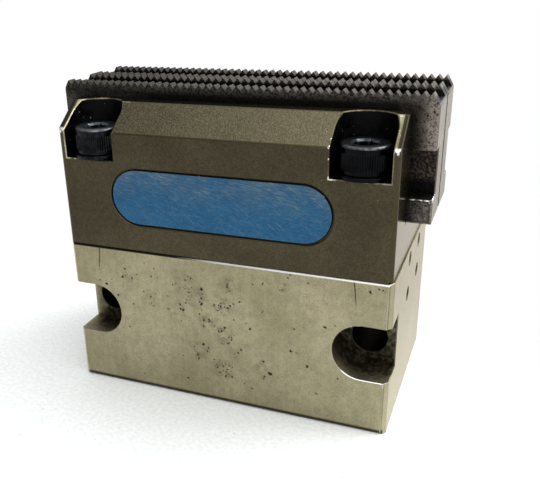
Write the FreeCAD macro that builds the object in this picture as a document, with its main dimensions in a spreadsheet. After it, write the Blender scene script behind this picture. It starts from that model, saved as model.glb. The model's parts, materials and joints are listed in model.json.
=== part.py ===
import FreeCAD, Part
import math
import os
import Sketcher
from FreeCAD import Placement, Rotation, Vector

# Pneumatic parallel gripper: a cylinder block below, a guide body above, and two serrated jaws that
# slide past each other in the guide. A piston in the block drives both jaws through a wedge.
# Millimetres. X runs along the jaws, Y from front to back, Z up. The origin is the middle of the
# block's bottom face.

doc = FreeCAD.newDocument("parallel_gripper")

# Driving dimensions: name, value, meaning.
DRIVING_SIZES = [
    ("base_length", 65.0, "block, along the jaws"),
    ("base_depth", 40.0, "block and guide body, front to back"),
    ("base_corner", 0.9, "chamfer of the block's upright edges"),
    ("base_rim", 0.35, "chamfer of the block's long top and bottom edges"),
    ("mount_spacing", 55.0, "between the two mounting holes"),
    ("mount_height", 16.5, "mounting holes above the bottom face"),
    ("mount_hole", 6.6, "mounting hole diameter"),
    ("mount_recess", 11.0, "screw head recess, diameter and height"),
    ("mount_recess_depth", 7.0, "screw head recess, depth from the front"),
    ("bore", 30.0, "cylinder bore diameter"),
    ("end_clearance", 0.75, "left between piston and cylinder end"),
    ("port_thread", 4.2, "air port, core diameter"),
    ("port_thread_depth", 7.0, "air port, threaded depth"),
    ("port_drill", 2.4, "air way from port to cylinder"),
    ("port_edge", 1.6, "air way centre from the cylinder end"),
    ("sensor_hole", 2.8, "threaded hole in the end face, core diameter"),
    ("sensor_hole_depth", 4.0, "threaded hole in the end face, depth"),
    ("sensor_inner_y", -2.6, "first pair of end face holes, from the middle"),
    ("sensor_inner_drop", 5.7, "first pair, middle below the block's top"),
    ("sensor_inner_pitch", 7.4, "first pair, hole to hole"),
    ("sensor_outer_y", 8.6, "second pair of end face holes, from the middle"),
    ("sensor_outer_drop", 5.6, "second pair, middle below the block's top"),
    ("sensor_outer_pitch", 6.6, "second pair, hole to hole"),
    ("cap_diameter", 32.0, "seat of the cylinder cap"),
    ("cap_thickness", 4.6, "cylinder cap"),
    ("cap_seal", 1.6, "thickness of the cap's O-ring"),
    ("ring_offset", 0.7, "retaining ring above the bottom face"),
    ("ring_thickness", 1.2, "retaining ring"),
    ("ring_groove", 34.0, "groove of the retaining ring, diameter"),
    ("ring_width", 2.6, "retaining ring, radial width"),
    ("ring_gap", 9.0, "opening between the ring's ends"),
    ("ring_ear", 5.0, "ear at each end of the ring, diameter"),
    ("ring_ear_hole", 1.8, "plier hole in each ear"),
    ("ring_ear_inset", 1.25, "ear centres inside the ring's inner edge"),
    ("piston_height", 8.0, "piston"),
    ("piston_stroke", 8.0, "piston travel, end to end"),
    ("piston_seal_height", 2.4, "seal on the piston"),
    ("piston_seal_depth", 2.0, "radial depth of the piston seal"),
    ("guide_ring_height", 2.2, "guide ring on the piston"),
    ("guide_ring_depth", 1.2, "radial depth of the guide ring"),
    ("piston_land", 1.2, "piston between a groove and the nearer face"),
    ("piston_chamfer", 0.8, "outer edges of the piston"),
    ("screw_recess", 11.0, "recess under the piston for its screw, diameter"),
    ("screw_recess_depth", 4.0, "recess under the piston, depth"),
    ("piston_screw_head", 8.5, "piston screw, head diameter"),
    ("piston_screw_head_height", 3.2, "piston screw, head height"),
    ("piston_screw_length", 11.0, "piston screw, below the head"),
    ("piston_screw_thread", 4.0, "piston screw, thread diameter"),
    ("piston_thread_spare", 1.0, "threaded hole above the piston screw's end"),
    ("piston_screw_hex", 3.0, "piston screw, hexagon across flats"),
    ("piston_screw_hex_depth", 2.0, "piston screw, hexagon depth"),
    ("spigot", 7.0, "rod end inside the piston, diameter"),
    ("rod_ring", 1.4, "thickness of the rod's O-ring"),
    ("rod", 10.0, "rod diameter"),
    ("seal_lip", 1.5, "block between cylinder and rod seal"),
    ("rod_seal_height", 2.5, "rod seal"),
    ("bush_length", 2.8, "rod bush"),
    ("bush_wall", 3.0, "rod bush, radial wall"),
    ("guide_length", 64.4, "guide body, along the jaws"),
    ("guide_corner", 0.5, "chamfer of the guide body's upright edges"),
    ("guide_floor", 7.7, "guide body under the jaws"),
    ("guide_opening", 14.0, "opening in the floor for the wedge, diameter"),
    ("top_chamfer_run", 6.2, "top chamfer of the guide body, along the depth"),
    ("top_chamfer_drop", 4.65, "top chamfer of the guide body, height"),
    ("jaw_length", 73.0, "jaw"),
    ("jaw_half_width", 10.4, "from the middle to the outer face of a jaw"),
    ("jaw_gap", 0.3, "between the two jaws"),
    ("jaw_neck_half_width", 7.0, "from the middle to the face of the jaw's side groove"),
    ("jaw_foot_height", 4.6, "jaw below its side groove"),
    ("jaw_neck_height", 8.6, "side groove of a jaw"),
    ("jaw_head_height", 9.7, "jaw above its side groove, to the tooth tips"),
    ("jaw_rise", 3.0, "tooth tips above the guide body"),
    ("jaw_corner", 0.45, "chamfer of the jaw's upright end edges"),
    ("jaw_foot_chamfer", 0.6, "chamfer along the outer bottom edge of a jaw"),
    ("jaw_end_run", 1.25, "bevel at the jaw's top ends, along the jaw"),
    ("jaw_end_drop", 2.1, "bevel at the jaw's top ends, height"),
    ("outer_lip", 2.2, "outer row of teeth, width"),
    ("inner_lip", 2.1, "inner row of teeth, width"),
    ("finger_groove_depth", 1.8, "groove between the rows, below the tooth tips"),
    ("tooth_pitch", 1.5, "tooth to tooth"),
    ("tooth_flat", 0.1, "flat on each tooth tip"),
    ("tooth_depth", 0.85, "valley between two teeth, below their tips"),
    ("finger_thread", 3.3, "threaded holes for the fingers, core diameter"),
    ("finger_thread_depth", 6.0, "threaded holes for the fingers, depth"),
    ("finger_inner_spacing", 32.0, "inner pair of finger holes"),
    ("finger_outer_spacing", 56.0, "outer pair of finger holes"),
    ("slide_clearance", 0.05, "between jaw and guide, and rib and slot"),
    ("fit_clearance", 0.02, "radial, pieces that stay in place"),
    ("running_clearance", 0.05, "radial, pieces that slide in a bore"),
    ("thread_clearance", 0.05, "radial, screw in its thread"),
    ("relief_clearance", 0.3, "between the wedge web and the jaws"),
    ("wedge_angle", 45.0, "slope of the ribs, degrees"),
    ("wedge_rise", 9.45, "middle of the ribs above the jaws' bottom faces"),
    ("rib_length", 9.0, "rib, along its slope"),
    ("rib_width", 5.0, "rib, across its slope"),
    ("rib_reach", 5.0, "from the middle to the end of a rib"),
    ("web_width", 9.0, "wedge web, along the jaws"),
    ("web_thickness", 4.0, "wedge web, front to back"),
    ("web_rim", 0.5, "web above the ribs"),
    ("cover_screw_x", 6.45, "cover screws, along the jaws from the guide body's ends"),
    ("cover_screw_y", 3.7, "cover screws, front to back from the front and back faces"),
    ("cover_thread", 5.0, "cover screw, thread diameter"),
    ("cover_hole", 5.5, "hole for the cover screw"),
    ("cover_screw_length", 25.0, "cover screw, below the head"),
    ("cover_thread_spare", 1.0, "threaded hole below the screw's end"),
    ("cover_head", 8.5, "cover screw, head diameter"),
    ("cover_head_height", 5.0, "cover screw, head height"),
    ("cover_head_chamfer", 0.45, "cover screw, edge of the head"),
    ("cover_hex", 4.0, "cover screw, hexagon across flats"),
    ("cover_hex_depth", 2.6, "cover screw, hexagon depth"),
    ("pocket_width", 10.3, "screw pocket"),
    ("pocket_depth", 10.0, "screw pocket, below the guide body's top"),
    ("washer_outside", 9.2, "lock washer, outer diameter"),
    ("washer_inside", 5.2, "lock washer, inner diameter"),
    ("washer_thickness", 0.8, "lock washer"),
    ("washer_split", 0.5, "cut through the lock washer"),
    ("pin_diameter", 4.0, "dowel pin"),
    ("pin_depth", 4.5, "dowel pin in each of the two bodies"),
    ("pin_end_gap", 0.3, "hole beyond each end of the pin"),
    ("pin_spacing", 40.0, "between the two dowel pins"),
    ("badge_length", 43.4, "recess of the plate, along the jaws"),
    ("badge_height", 11.3, "recess of the plate, height"),
    ("badge_recess", 0.5, "recess of the plate, depth"),
    ("badge_thickness", 0.4, "plate"),
    ("badge_gap", 0.2, "between the plate and its recess"),
    ("badge_rise", 10.85, "middle of the plate above the block's top"),
    ("overrun", 1.0, "how far a cut or a joined pad runs past a face"),
]

sheet = doc.addObject("Spreadsheet::Sheet", "sizes")
for row, (name, size, meaning) in enumerate(DRIVING_SIZES, start=1):
    sheet.set("A%d" % row, name)
    sheet.set("B%d" % row, str(size))
    sheet.set("C%d" % row, meaning)
    sheet.setAlias("B%d" % row, name)
doc.recompute()


def size(name):
    """Expression for one cell of the sheet."""
    return "sizes." + name


def half(name):
    """Expression for half of one cell of the sheet."""
    return "(sizes.%s / 2)" % name


def value(expression):
    """Number that an expression gives now."""
    return float(sheet.evalExpression(expression))


# Heights, from the bottom face up. Each one stands on the one below.
RING_TOP = "(sizes.ring_offset + sizes.ring_thickness)"
CAP_TOP = "(%s + sizes.cap_thickness)" % RING_TOP
PISTON_BOTTOM = "(%s + sizes.end_clearance + sizes.piston_stroke / 2)" % CAP_TOP
PISTON_TOP = "(%s + sizes.piston_height)" % PISTON_BOTTOM
CYLINDER_TOP = "(%s + sizes.piston_stroke / 2 + sizes.end_clearance)" % PISTON_TOP
SEAL_SEAT = "(%s + sizes.seal_lip)" % CYLINDER_TOP
BUSH_SEAT = "(%s + sizes.rod_seal_height)" % SEAL_SEAT
BASE_TOP = "(%s + sizes.bush_length)" % BUSH_SEAT
SLOT_FLOOR = "(%s + sizes.guide_floor)" % BASE_TOP
FOOT_BOTTOM = "(%s + sizes.slide_clearance)" % SLOT_FLOOR
FOOT_TOP = "(%s + sizes.jaw_foot_height)" % FOOT_BOTTOM
HEAD_BOTTOM = "(%s + sizes.jaw_neck_height)" % FOOT_TOP
TOOTH_TIP = "(%s + sizes.jaw_head_height)" % HEAD_BOTTOM
GROOVE_FLOOR = "(%s - sizes.finger_groove_depth)" % TOOTH_TIP
GUIDE_TOP = "(%s - sizes.jaw_rise)" % TOOTH_TIP
POCKET_FLOOR = "(%s - sizes.pocket_depth)" % GUIDE_TOP
HEAD_SEAT = "(%s + sizes.washer_thickness)" % POCKET_FLOOR
THREAD_BOTTOM = "(%s - sizes.cover_screw_length - sizes.cover_thread_spare)" % HEAD_SEAT
WEDGE_MIDDLE = "(%s + sizes.wedge_rise)" % FOOT_BOTTOM
RIB_HALF_HEIGHT = (
    "((sizes.rib_length * sin(sizes.wedge_angle) + sizes.rib_width * cos(sizes.wedge_angle)) / 2)"
)
WEB_TOP = "(%s + %s + sizes.web_rim)" % (WEDGE_MIDDLE, RIB_HALF_HEIGHT)
ROD_TOP = "(%s - sizes.piston_stroke / 2 - sizes.relief_clearance)" % FOOT_BOTTOM
SCREW_SEAT = "(%s + sizes.screw_recess_depth)" % PISTON_BOTTOM

# Places, half widths and radii that two or more pieces share.
COVER_X = "(sizes.guide_length / 2 - sizes.cover_screw_x)"
COVER_Y = "(sizes.base_depth / 2 - sizes.cover_screw_y)"
SLOT_HALF = "(sizes.jaw_half_width + sizes.slide_clearance)"
RAIL_HALF = "(sizes.jaw_neck_half_width + sizes.slide_clearance)"
RAIL_TOP = "(%s - sizes.slide_clearance)" % HEAD_BOTTOM
RAIL_BOTTOM = "(%s + sizes.slide_clearance)" % FOOT_TOP
JAW_TRAVEL = "(sizes.piston_stroke / 2 / tan(sizes.wedge_angle))"
BUSH_RADIUS = "(sizes.rod / 2 + sizes.bush_wall)"
ROD_BORE = "(sizes.rod / 2 + sizes.running_clearance)"
PISTON_RADIUS = "(sizes.bore / 2 - 2 * sizes.running_clearance)"
SLIDING_RADIUS = "(sizes.bore / 2 - sizes.running_clearance)"
PIN_HOLE = "(sizes.pin_diameter / 2 + sizes.fit_clearance)"
COVER_THREAD_HOLE = "(sizes.cover_thread / 2 + sizes.thread_clearance)"
GUIDE_RING_BOTTOM = "(%s + sizes.piston_land)" % PISTON_BOTTOM
GUIDE_RING_TOP = "(%s + sizes.guide_ring_height)" % GUIDE_RING_BOTTOM
PISTON_SEAL_TOP = "(%s - sizes.piston_land)" % PISTON_TOP
PISTON_SEAL_BOTTOM = "(%s - sizes.piston_seal_height)" % PISTON_SEAL_TOP
CAP_RADIUS = "(sizes.cap_diameter / 2 - sizes.fit_clearance)"
CAP_SEAL_MIDDLE = "(%s + sizes.cap_thickness / 2)" % RING_TOP
ROD_RING_MIDDLE = "((%s + %s) / 2)" % (SCREW_SEAT, PISTON_TOP)
BEYOND = "sizes.overrun"


def new_body(label):
    body = doc.addObject("PartDesign::Body", label)
    body.Label = label
    return body


def new_sketch(body, plane, height="0"):
    """Empty sketch on one of the body's own planes, moved along that plane's normal."""
    planes = {feature.Role: feature for feature in body.Origin.OriginFeatures}
    sketch = body.newObject("Sketcher::SketchObject", body.Name + "_sketch")
    sketch.AttachmentSupport = [(planes[plane], "")]
    sketch.MapMode = "FlatFace"
    sketch.AttachmentOffset = Placement(Vector(0, 0, value(height)), Rotation())
    sketch.setExpression("AttachmentOffset.Base.z", height)
    return sketch


def fix_point(sketch, geometry, point, x, y):
    """Holds a point of the sketch at two expressions, measured from the origin."""
    for kind, place in (("DistanceX", x), ("DistanceY", y)):
        number = sketch.addConstraint(Sketcher.Constraint(kind, -1, 1, geometry, point, value(place)))
        sketch.setExpression("Constraints[%d]" % number, place)


def add_outline(sketch, corners):
    """Closed outline of straight lines. Each corner is a pair of expressions."""
    first = sketch.GeometryCount
    count = len(corners)
    places = [Vector(value(x), value(y), 0) for x, y in corners]
    for step in range(count):
        sketch.addGeometry(Part.LineSegment(places[step], places[(step + 1) % count]), False)
    for step in range(count):
        following = first + (step + 1) % count
        sketch.addConstraint(Sketcher.Constraint("Coincident", first + step, 2, following, 1))
    for step, (x, y) in enumerate(corners):
        fix_point(sketch, first + step, 1, x, y)


def add_rectangle(sketch, left, bottom, right, top):
    add_outline(sketch, [(left, bottom), (right, bottom), (right, top), (left, top)])


def add_circle(sketch, x, y, radius):
    centre = Vector(value(x), value(y), 0)
    circle = sketch.addGeometry(Part.Circle(centre, Vector(0, 0, 1), value(radius)), False)
    fix_point(sketch, circle, 3, x, y)
    number = sketch.addConstraint(Sketcher.Constraint("Radius", circle, value(radius)))
    sketch.setExpression("Constraints[%d]" % number, radius)


def add_arc_between(sketch, before, after, centre, start_angle, end_angle, radius):
    """Arc from the end of one line to the start of another, tangent to both."""
    circle = Part.Circle(centre, Vector(0, 0, 1), radius)
    arc = sketch.addGeometry(Part.ArcOfCircle(circle, start_angle, end_angle), False)
    sketch.addConstraint(Sketcher.Constraint("Tangent", before, 2, arc, 1))
    sketch.addConstraint(Sketcher.Constraint("Tangent", arc, 2, after, 1))
    return arc


def add_stadium(sketch, x, y, length, height):
    """Outline with two straight sides and two half-round ends, middle at x, y."""
    quarter_turn = math.pi / 2
    radius = "(%s / 2)" % height
    reach = "(%s / 2 - %s / 2)" % (length, height)
    left = "(%s - %s)" % (x, reach)
    right = "(%s + %s)" % (x, reach)
    low = "(%s - %s)" % (y, radius)
    high = "(%s + %s)" % (y, radius)
    lower = sketch.addGeometry(
        Part.LineSegment(Vector(value(left), value(low), 0), Vector(value(right), value(low), 0)), False)
    upper = sketch.addGeometry(
        Part.LineSegment(Vector(value(right), value(high), 0), Vector(value(left), value(high), 0)), False)
    right_middle = Vector(value(right), value(y), 0)
    left_middle = Vector(value(left), value(y), 0)
    add_arc_between(sketch, lower, upper, right_middle, -quarter_turn, quarter_turn, value(radius))
    add_arc_between(sketch, upper, lower, left_middle, quarter_turn, 3 * quarter_turn, value(radius))
    fix_point(sketch, lower, 1, left, low)
    fix_point(sketch, lower, 2, right, low)
    fix_point(sketch, upper, 1, right, high)


def finish_feature(body, feature):
    doc.recompute()
    if "Invalid" in feature.State or "Error" in feature.State:
        raise RuntimeError("%s failed in %s" % (feature.Name, body.Label))
    body.Tip = feature
    return feature


def pad(body, sketch, length, side="One side", reverse=False):
    feature = body.newObject("PartDesign::Pad", body.Name + "_pad")
    feature.Profile = sketch
    feature.SideType = side
    feature.Reversed = reverse
    feature.Length = value(length)
    feature.setExpression("Length", length)
    return finish_feature(body, feature)


def pocket(body, sketch, length=None, side="One side", reverse=False):
    """Cuts the sketch into the body, right through it when no length is given."""
    before = body.Tip.Shape.Volume
    feature = body.newObject("PartDesign::Pocket", body.Name + "_pocket")
    feature.Profile = sketch
    feature.SideType = side
    feature.Reversed = reverse
    if length is None:
        feature.Type = "ThroughAll"
    else:
        feature.Length = value(length)
        feature.setExpression("Length", length)
    finish_feature(body, feature)
    if feature.Shape.Volume >= before:
        raise RuntimeError("a pocket of %s cuts nothing" % body.Label)
    return feature


def revolve(body, corners):
    """Solid of revolution about Z. Each corner is radius and height."""
    sketch = new_sketch(body, "XZ_Plane")
    add_outline(sketch, corners)
    feature = body.newObject("PartDesign::Revolution", body.Name + "_revolution")
    feature.Profile = sketch
    feature.ReferenceAxis = (sketch, ["V_Axis"])
    feature.Angle = 360
    return finish_feature(body, feature)


def turn_out(body, corners):
    """Cut of revolution about Z. Each corner is radius and height."""
    before = body.Tip.Shape.Volume
    sketch = new_sketch(body, "XZ_Plane")
    add_outline(sketch, corners)
    feature = body.newObject("PartDesign::Groove", body.Name + "_groove")
    feature.Profile = sketch
    feature.ReferenceAxis = (sketch, ["V_Axis"])
    feature.Angle = 360
    finish_feature(body, feature)
    if feature.Shape.Volume >= before:
        raise RuntimeError("a groove of %s cuts nothing" % body.Label)
    return feature


def ring(label, inside, outside, bottom, top):
    """Plain ring about Z."""
    body = new_body(label)
    revolve(body, [(inside, bottom), (outside, bottom), (outside, top), (inside, top)])
    return body


def o_ring(label, middle_radius, thickness, height):
    """Ring about Z with an eight-sided section, as thick across its flats as the round one."""
    body = new_body(label)
    flat = "(%s / 2)" % thickness
    corner = "(%s * tan(22.5))" % flat
    steps = [("-", flat, "-", corner), ("-", corner, "-", flat), ("+", corner, "-", flat),
             ("+", flat, "-", corner), ("+", flat, "+", corner), ("+", corner, "+", flat),
             ("-", corner, "+", flat), ("-", flat, "+", corner)]
    revolve(body, [("(%s %s %s)" % (middle_radius, x_sign, x), "(%s %s %s)" % (height, z_sign, z))
                   for x_sign, x, z_sign, z in steps])
    return body


def add_corner_triangles(sketch, left, front, right, back, leg):
    """Four small right triangles at the corners of a rectangle, for upright chamfers."""
    for x, x_sign in ((left, 1), (right, -1)):
        for y, y_sign in ((front, 1), (back, -1)):
            x_out = "(%s - %d * %s)" % (x, x_sign, leg)
            y_out = "(%s - %d * %s)" % (y, y_sign, leg)
            x_in = "(%s + 2 * %d * %s)" % (x, x_sign, leg)
            y_in = "(%s + 2 * %d * %s)" % (y, y_sign, leg)
            corners = [(x_out, y_out), (x_in, y_out), (x_out, y_in)]
            if x_sign * y_sign < 0:
                corners.reverse()
            add_outline(sketch, corners)


def hexagon_corners(across_flats):
    """Corners of a hexagon about the origin."""
    corner = "(%s / sqrt(3))" % across_flats
    return [("(%s * cos(%d))" % (corner, angle), "(%s * sin(%d))" % (corner, angle))
            for angle in range(0, 360, 60)]


def four_corners(x, y):
    """The four places at plus and minus x and y."""
    return [("(%s%s)" % (x_sign, x), "(%s%s)" % (y_sign, y)) for y_sign in "-+" for x_sign in "-+"]


def build_base_body():
    body = new_body("base_body")
    side = half("base_depth")
    rim = size("base_rim")
    inner = "(%s - %s)" % (side, rim)
    profile = new_sketch(body, "YZ_Plane")
    add_outline(profile, [
        ("-" + inner, "0"), (inner, "0"), (side, rim), (side, "(%s - %s)" % (BASE_TOP, rim)),
        (inner, BASE_TOP), ("-" + inner, BASE_TOP), ("-" + side, "(%s - %s)" % (BASE_TOP, rim)),
        ("-" + side, rim)])
    pad(body, profile, size("base_length"), side="Symmetric")

    corners = new_sketch(body, "XY_Plane")
    end = half("base_length")
    add_corner_triangles(corners, "-" + end, "-" + side, end, side, size("base_corner"))
    pocket(body, corners, side="Symmetric")

    # Bore with the cap's seat, the retaining ring's groove, and the rod's seal and bush seats.
    cylinder = half("bore")
    seat = half("cap_diameter")
    groove = half("ring_groove")
    turn_out(body, [
        ("0", "-" + BEYOND), (seat, "-" + BEYOND), (seat, size("ring_offset")),
        (groove, size("ring_offset")), (groove, RING_TOP), (seat, RING_TOP), (seat, CAP_TOP),
        (cylinder, CAP_TOP), (cylinder, CYLINDER_TOP), (ROD_BORE, CYLINDER_TOP), (ROD_BORE, SEAL_SEAT),
        (BUSH_RADIUS, SEAL_SEAT), (BUSH_RADIUS, "(%s + %s)" % (BASE_TOP, BEYOND)),
        ("0", "(%s + %s)" % (BASE_TOP, BEYOND))])

    through = new_sketch(body, "XZ_Plane")
    for sign in "-+":
        add_circle(through, sign + half("mount_spacing"), size("mount_height"), half("mount_hole"))
    pocket(body, through, side="Symmetric")

    # The head recesses are round towards the middle and open at the block's ends.
    recess = new_sketch(body, "XZ_Plane", side)
    for sign in "-+":
        add_circle(recess, sign + half("mount_spacing"), size("mount_height"), half("mount_recess"))
    pocket(body, recess, size("mount_recess_depth"))
    opening = new_sketch(body, "XZ_Plane", side)
    low = "(%s - %s)" % (size("mount_height"), half("mount_recess"))
    high = "(%s + %s)" % (size("mount_height"), half("mount_recess"))
    outside = "(%s + %s)" % (end, BEYOND)
    add_rectangle(opening, half("mount_spacing"), low, outside, high)
    add_rectangle(opening, "-" + outside, low, "-" + half("mount_spacing"), high)
    pocket(body, opening, size("mount_recess_depth"))

    threads = new_sketch(body, "XY_Plane", BASE_TOP)
    for x, y in four_corners(COVER_X, COVER_Y):
        add_circle(threads, x, y, COVER_THREAD_HOLE)
    pocket(body, threads, "(%s - %s)" % (BASE_TOP, THREAD_BOTTOM))

    pins = new_sketch(body, "XY_Plane", BASE_TOP)
    for sign in "-+":
        add_circle(pins, sign + half("pin_spacing"), "0", PIN_HOLE)
    pocket(body, pins, "(%s + %s)" % (size("pin_depth"), size("pin_end_gap")))

    sensors = new_sketch(body, "YZ_Plane", end)
    for pair in ("inner", "outer"):
        middle = "(%s - %s)" % (BASE_TOP, size("sensor_%s_drop" % pair))
        for sign in "-+":
            height = "(%s %s %s)" % (middle, sign, half("sensor_%s_pitch" % pair))
            add_circle(sensors, size("sensor_%s_y" % pair), height, half("sensor_hole"))
    pocket(body, sensors, size("sensor_hole_depth"))

    port_heights = ["(%s + %s)" % (CAP_TOP, size("port_edge")),
                    "(%s - %s)" % (CYLINDER_TOP, size("port_edge"))]
    for diameter, depth in (("port_thread", size("port_thread_depth")), ("port_drill", end)):
        ports = new_sketch(body, "YZ_Plane", "-" + end)
        for height in port_heights:
            add_circle(ports, "0", height, half(diameter))
        pocket(body, ports, depth, reverse=True)
    return body


def build_guide_body():
    body = new_body("guide_body")
    side = half("base_depth")
    end = half("guide_length")
    shoulder = "(%s - %s)" % (side, size("top_chamfer_run"))
    chamfer_foot = "(%s - %s)" % (GUIDE_TOP, size("top_chamfer_drop"))
    right_half = [
        (side, BASE_TOP), (side, chamfer_foot), (shoulder, GUIDE_TOP), (SLOT_HALF, GUIDE_TOP),
        (SLOT_HALF, RAIL_TOP), (RAIL_HALF, RAIL_TOP), (RAIL_HALF, RAIL_BOTTOM), (SLOT_HALF, RAIL_BOTTOM),
        (SLOT_HALF, SLOT_FLOOR)]
    left_half = [("-" + y, z) for y, z in reversed(right_half)]
    profile = new_sketch(body, "YZ_Plane")
    add_outline(profile, right_half + left_half)
    pad(body, profile, size("guide_length"), side="Symmetric")

    corners = new_sketch(body, "XY_Plane")
    add_corner_triangles(corners, "-" + end, "-" + side, end, side, size("guide_corner"))
    pocket(body, corners, side="Symmetric")

    # Screw pockets, round towards the jaws and open to the front and back.
    rounds = new_sketch(body, "XY_Plane", POCKET_FLOOR)
    for x, y in four_corners(COVER_X, COVER_Y):
        add_circle(rounds, x, y, half("pocket_width"))
    pocket(body, rounds, reverse=True)
    mouths = new_sketch(body, "XY_Plane", POCKET_FLOOR)
    outside = "(%s + %s)" % (side, BEYOND)
    for sign in "-+":
        left = "(%s%s - %s)" % (sign, COVER_X, half("pocket_width"))
        right = "(%s%s + %s)" % (sign, COVER_X, half("pocket_width"))
        add_rectangle(mouths, left, "-" + outside, right, "-" + COVER_Y)
        add_rectangle(mouths, left, COVER_Y, right, outside)
    pocket(body, mouths, reverse=True)

    holes = new_sketch(body, "XY_Plane", POCKET_FLOOR)
    for x, y in four_corners(COVER_X, COVER_Y):
        add_circle(holes, x, y, half("cover_hole"))
    pocket(body, holes)

    floor = new_sketch(body, "XY_Plane", SLOT_FLOOR)
    add_circle(floor, "0", "0", half("guide_opening"))
    pocket(body, floor)

    pins = new_sketch(body, "XY_Plane", BASE_TOP)
    for sign in "-+":
        add_circle(pins, sign + half("pin_spacing"), "0", PIN_HOLE)
    pocket(body, pins, "(%s + %s)" % (size("pin_depth"), size("pin_end_gap")), reverse=True)

    badge = new_sketch(body, "XZ_Plane", side)
    middle = "(%s + %s)" % (BASE_TOP, size("badge_rise"))
    add_stadium(badge, "0", middle, size("badge_length"), size("badge_height"))
    pocket(body, badge, size("badge_recess"))
    return body


def rib_corners(length_before, length_after, width):
    """Corners of a slanting bar in the XZ plane, rising towards -X through the wedge's middle."""
    along_x = "cos(%s)" % size("wedge_angle")
    along_z = "sin(%s)" % size("wedge_angle")
    corners = []
    sides = ((length_before, "-"), (length_after, "-"), (length_after, "+"), (length_before, "+"))
    for along, across in sides:
        x = "(-%s * %s %s %s / 2 * %s)" % (along, along_x, across, width, along_z)
        z = "(%s + %s * %s %s %s / 2 * %s)" % (WEDGE_MIDDLE, along, along_z, across, width, along_x)
        corners.append((x, z))
    return corners


def build_jaw(label, turned):
    body = new_body(label)
    near = half("jaw_gap")
    far = size("jaw_half_width")
    neck = size("jaw_neck_half_width")
    inner = "(%s + %s)" % (near, size("inner_lip"))
    outer = "(%s - %s)" % (far, size("outer_lip"))
    foot_edge = "(%s - %s)" % (far, size("jaw_foot_chamfer"))
    foot_rim = "(%s + %s)" % (FOOT_BOTTOM, size("jaw_foot_chamfer"))
    section = [
        (near, FOOT_BOTTOM), (near, TOOTH_TIP), (inner, TOOTH_TIP), (inner, GROOVE_FLOOR),
        (outer, GROOVE_FLOOR), (outer, TOOTH_TIP), (far, TOOTH_TIP), (far, HEAD_BOTTOM),
        (neck, HEAD_BOTTOM), (neck, FOOT_TOP), (far, FOOT_TOP), (far, foot_rim), (foot_edge, FOOT_BOTTOM)]
    profile = new_sketch(body, "YZ_Plane")
    add_outline(profile, [("-" + y, z) for y, z in section])
    pad(body, profile, size("jaw_length"), side="Symmetric")
    end = half("jaw_length")

    # One V between teeth, repeated along the jaw for as many whole teeth as it holds.
    reach = "((%s - %s) / 2)" % (size("tooth_pitch"), size("tooth_flat"))
    whole_teeth = "floor(%s / %s)" % (size("jaw_length"), size("tooth_pitch"))
    row_length = "(%s * %s)" % (whole_teeth, size("tooth_pitch"))
    first = "(-%s / 2)" % row_length
    valley = new_sketch(body, "XZ_Plane")
    add_outline(valley, [
        ("(%s - %s)" % (first, reach), TOOTH_TIP), (first, "(%s - %s)" % (TOOTH_TIP, size("tooth_depth"))),
        ("(%s + %s)" % (first, reach), TOOTH_TIP)])
    first_valley = pocket(body, valley, side="Symmetric")
    teeth = body.newObject("PartDesign::LinearPattern", label + "_teeth")
    teeth.Originals = [first_valley]
    teeth.Direction = (valley, ["H_Axis"])
    teeth.Mode = "Extent"
    teeth.setExpression("Occurrences", "%s + 1" % whole_teeth)
    teeth.setExpression("Length", row_length)
    finish_feature(body, teeth)

    bevels = new_sketch(body, "XZ_Plane")
    run = size("jaw_end_run")
    drop = size("jaw_end_drop")
    for sign in "-+":
        add_outline(bevels, [
            ("(%s(%s - %s))" % (sign, end, run), TOOTH_TIP),
            ("(%s(%s + %s))" % (sign, end, run), TOOTH_TIP),
            ("(%s(%s + %s))" % (sign, end, run), "(%s - %s)" % (TOOTH_TIP, drop)),
            ("(%s%s)" % (sign, end), "(%s - %s)" % (TOOTH_TIP, drop))])
    pocket(body, bevels, side="Symmetric")

    corners = new_sketch(body, "XY_Plane")
    add_corner_triangles(corners, "-" + end, "-" + far, end, "-" + near, size("jaw_corner"))
    pocket(body, corners, side="Symmetric")

    # Room for the wedge's web at the jaw's inner face, open at the bottom.
    relief = new_sketch(body, "XZ_Plane")
    reach = "(%s + %s + %s)" % (half("web_width"), JAW_TRAVEL, size("relief_clearance"))
    ceiling = "(%s + %s + %s)" % (WEB_TOP, half("piston_stroke"), size("relief_clearance"))
    add_rectangle(relief, "-" + reach, "(%s - %s)" % (FOOT_BOTTOM, BEYOND), reach, ceiling)
    pocket(body, relief, "(%s + %s)" % (half("web_thickness"), size("relief_clearance")), reverse=True)

    # Inclined slot that the rib runs in, open at the bottom.
    slot = new_sketch(body, "XZ_Plane")
    slide = "(%s / sin(%s))" % (half("piston_stroke"), size("wedge_angle"))
    upper = "(%s + %s + %s)" % (half("rib_length"), slide, size("relief_clearance"))
    below = "(%s + %s)" % (size("wedge_rise"), BEYOND)
    lower = "(-%s - %s / sin(%s))" % (size("rib_width"), below, size("wedge_angle"))
    slot_width = "(%s + 2 * %s)" % (size("rib_width"), size("slide_clearance"))
    add_outline(slot, rib_corners(lower, upper, slot_width))
    pocket(body, slot, "(%s + %s)" % (size("rib_reach"), size("relief_clearance")), reverse=True)

    fingers = new_sketch(body, "XY_Plane", GROOVE_FLOOR)
    row = "(-(%s + %s) / 2)" % (inner, outer)
    for pair in ("inner", "outer"):
        for sign in "-+":
            add_circle(fingers, sign + half("finger_%s_spacing" % pair), row, half("finger_thread"))
    pocket(body, fingers, size("finger_thread_depth"))
    if turned:
        body.Placement = Placement(Vector(0, 0, 0), Rotation(Vector(0, 0, 1), 180))
    return body


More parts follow.
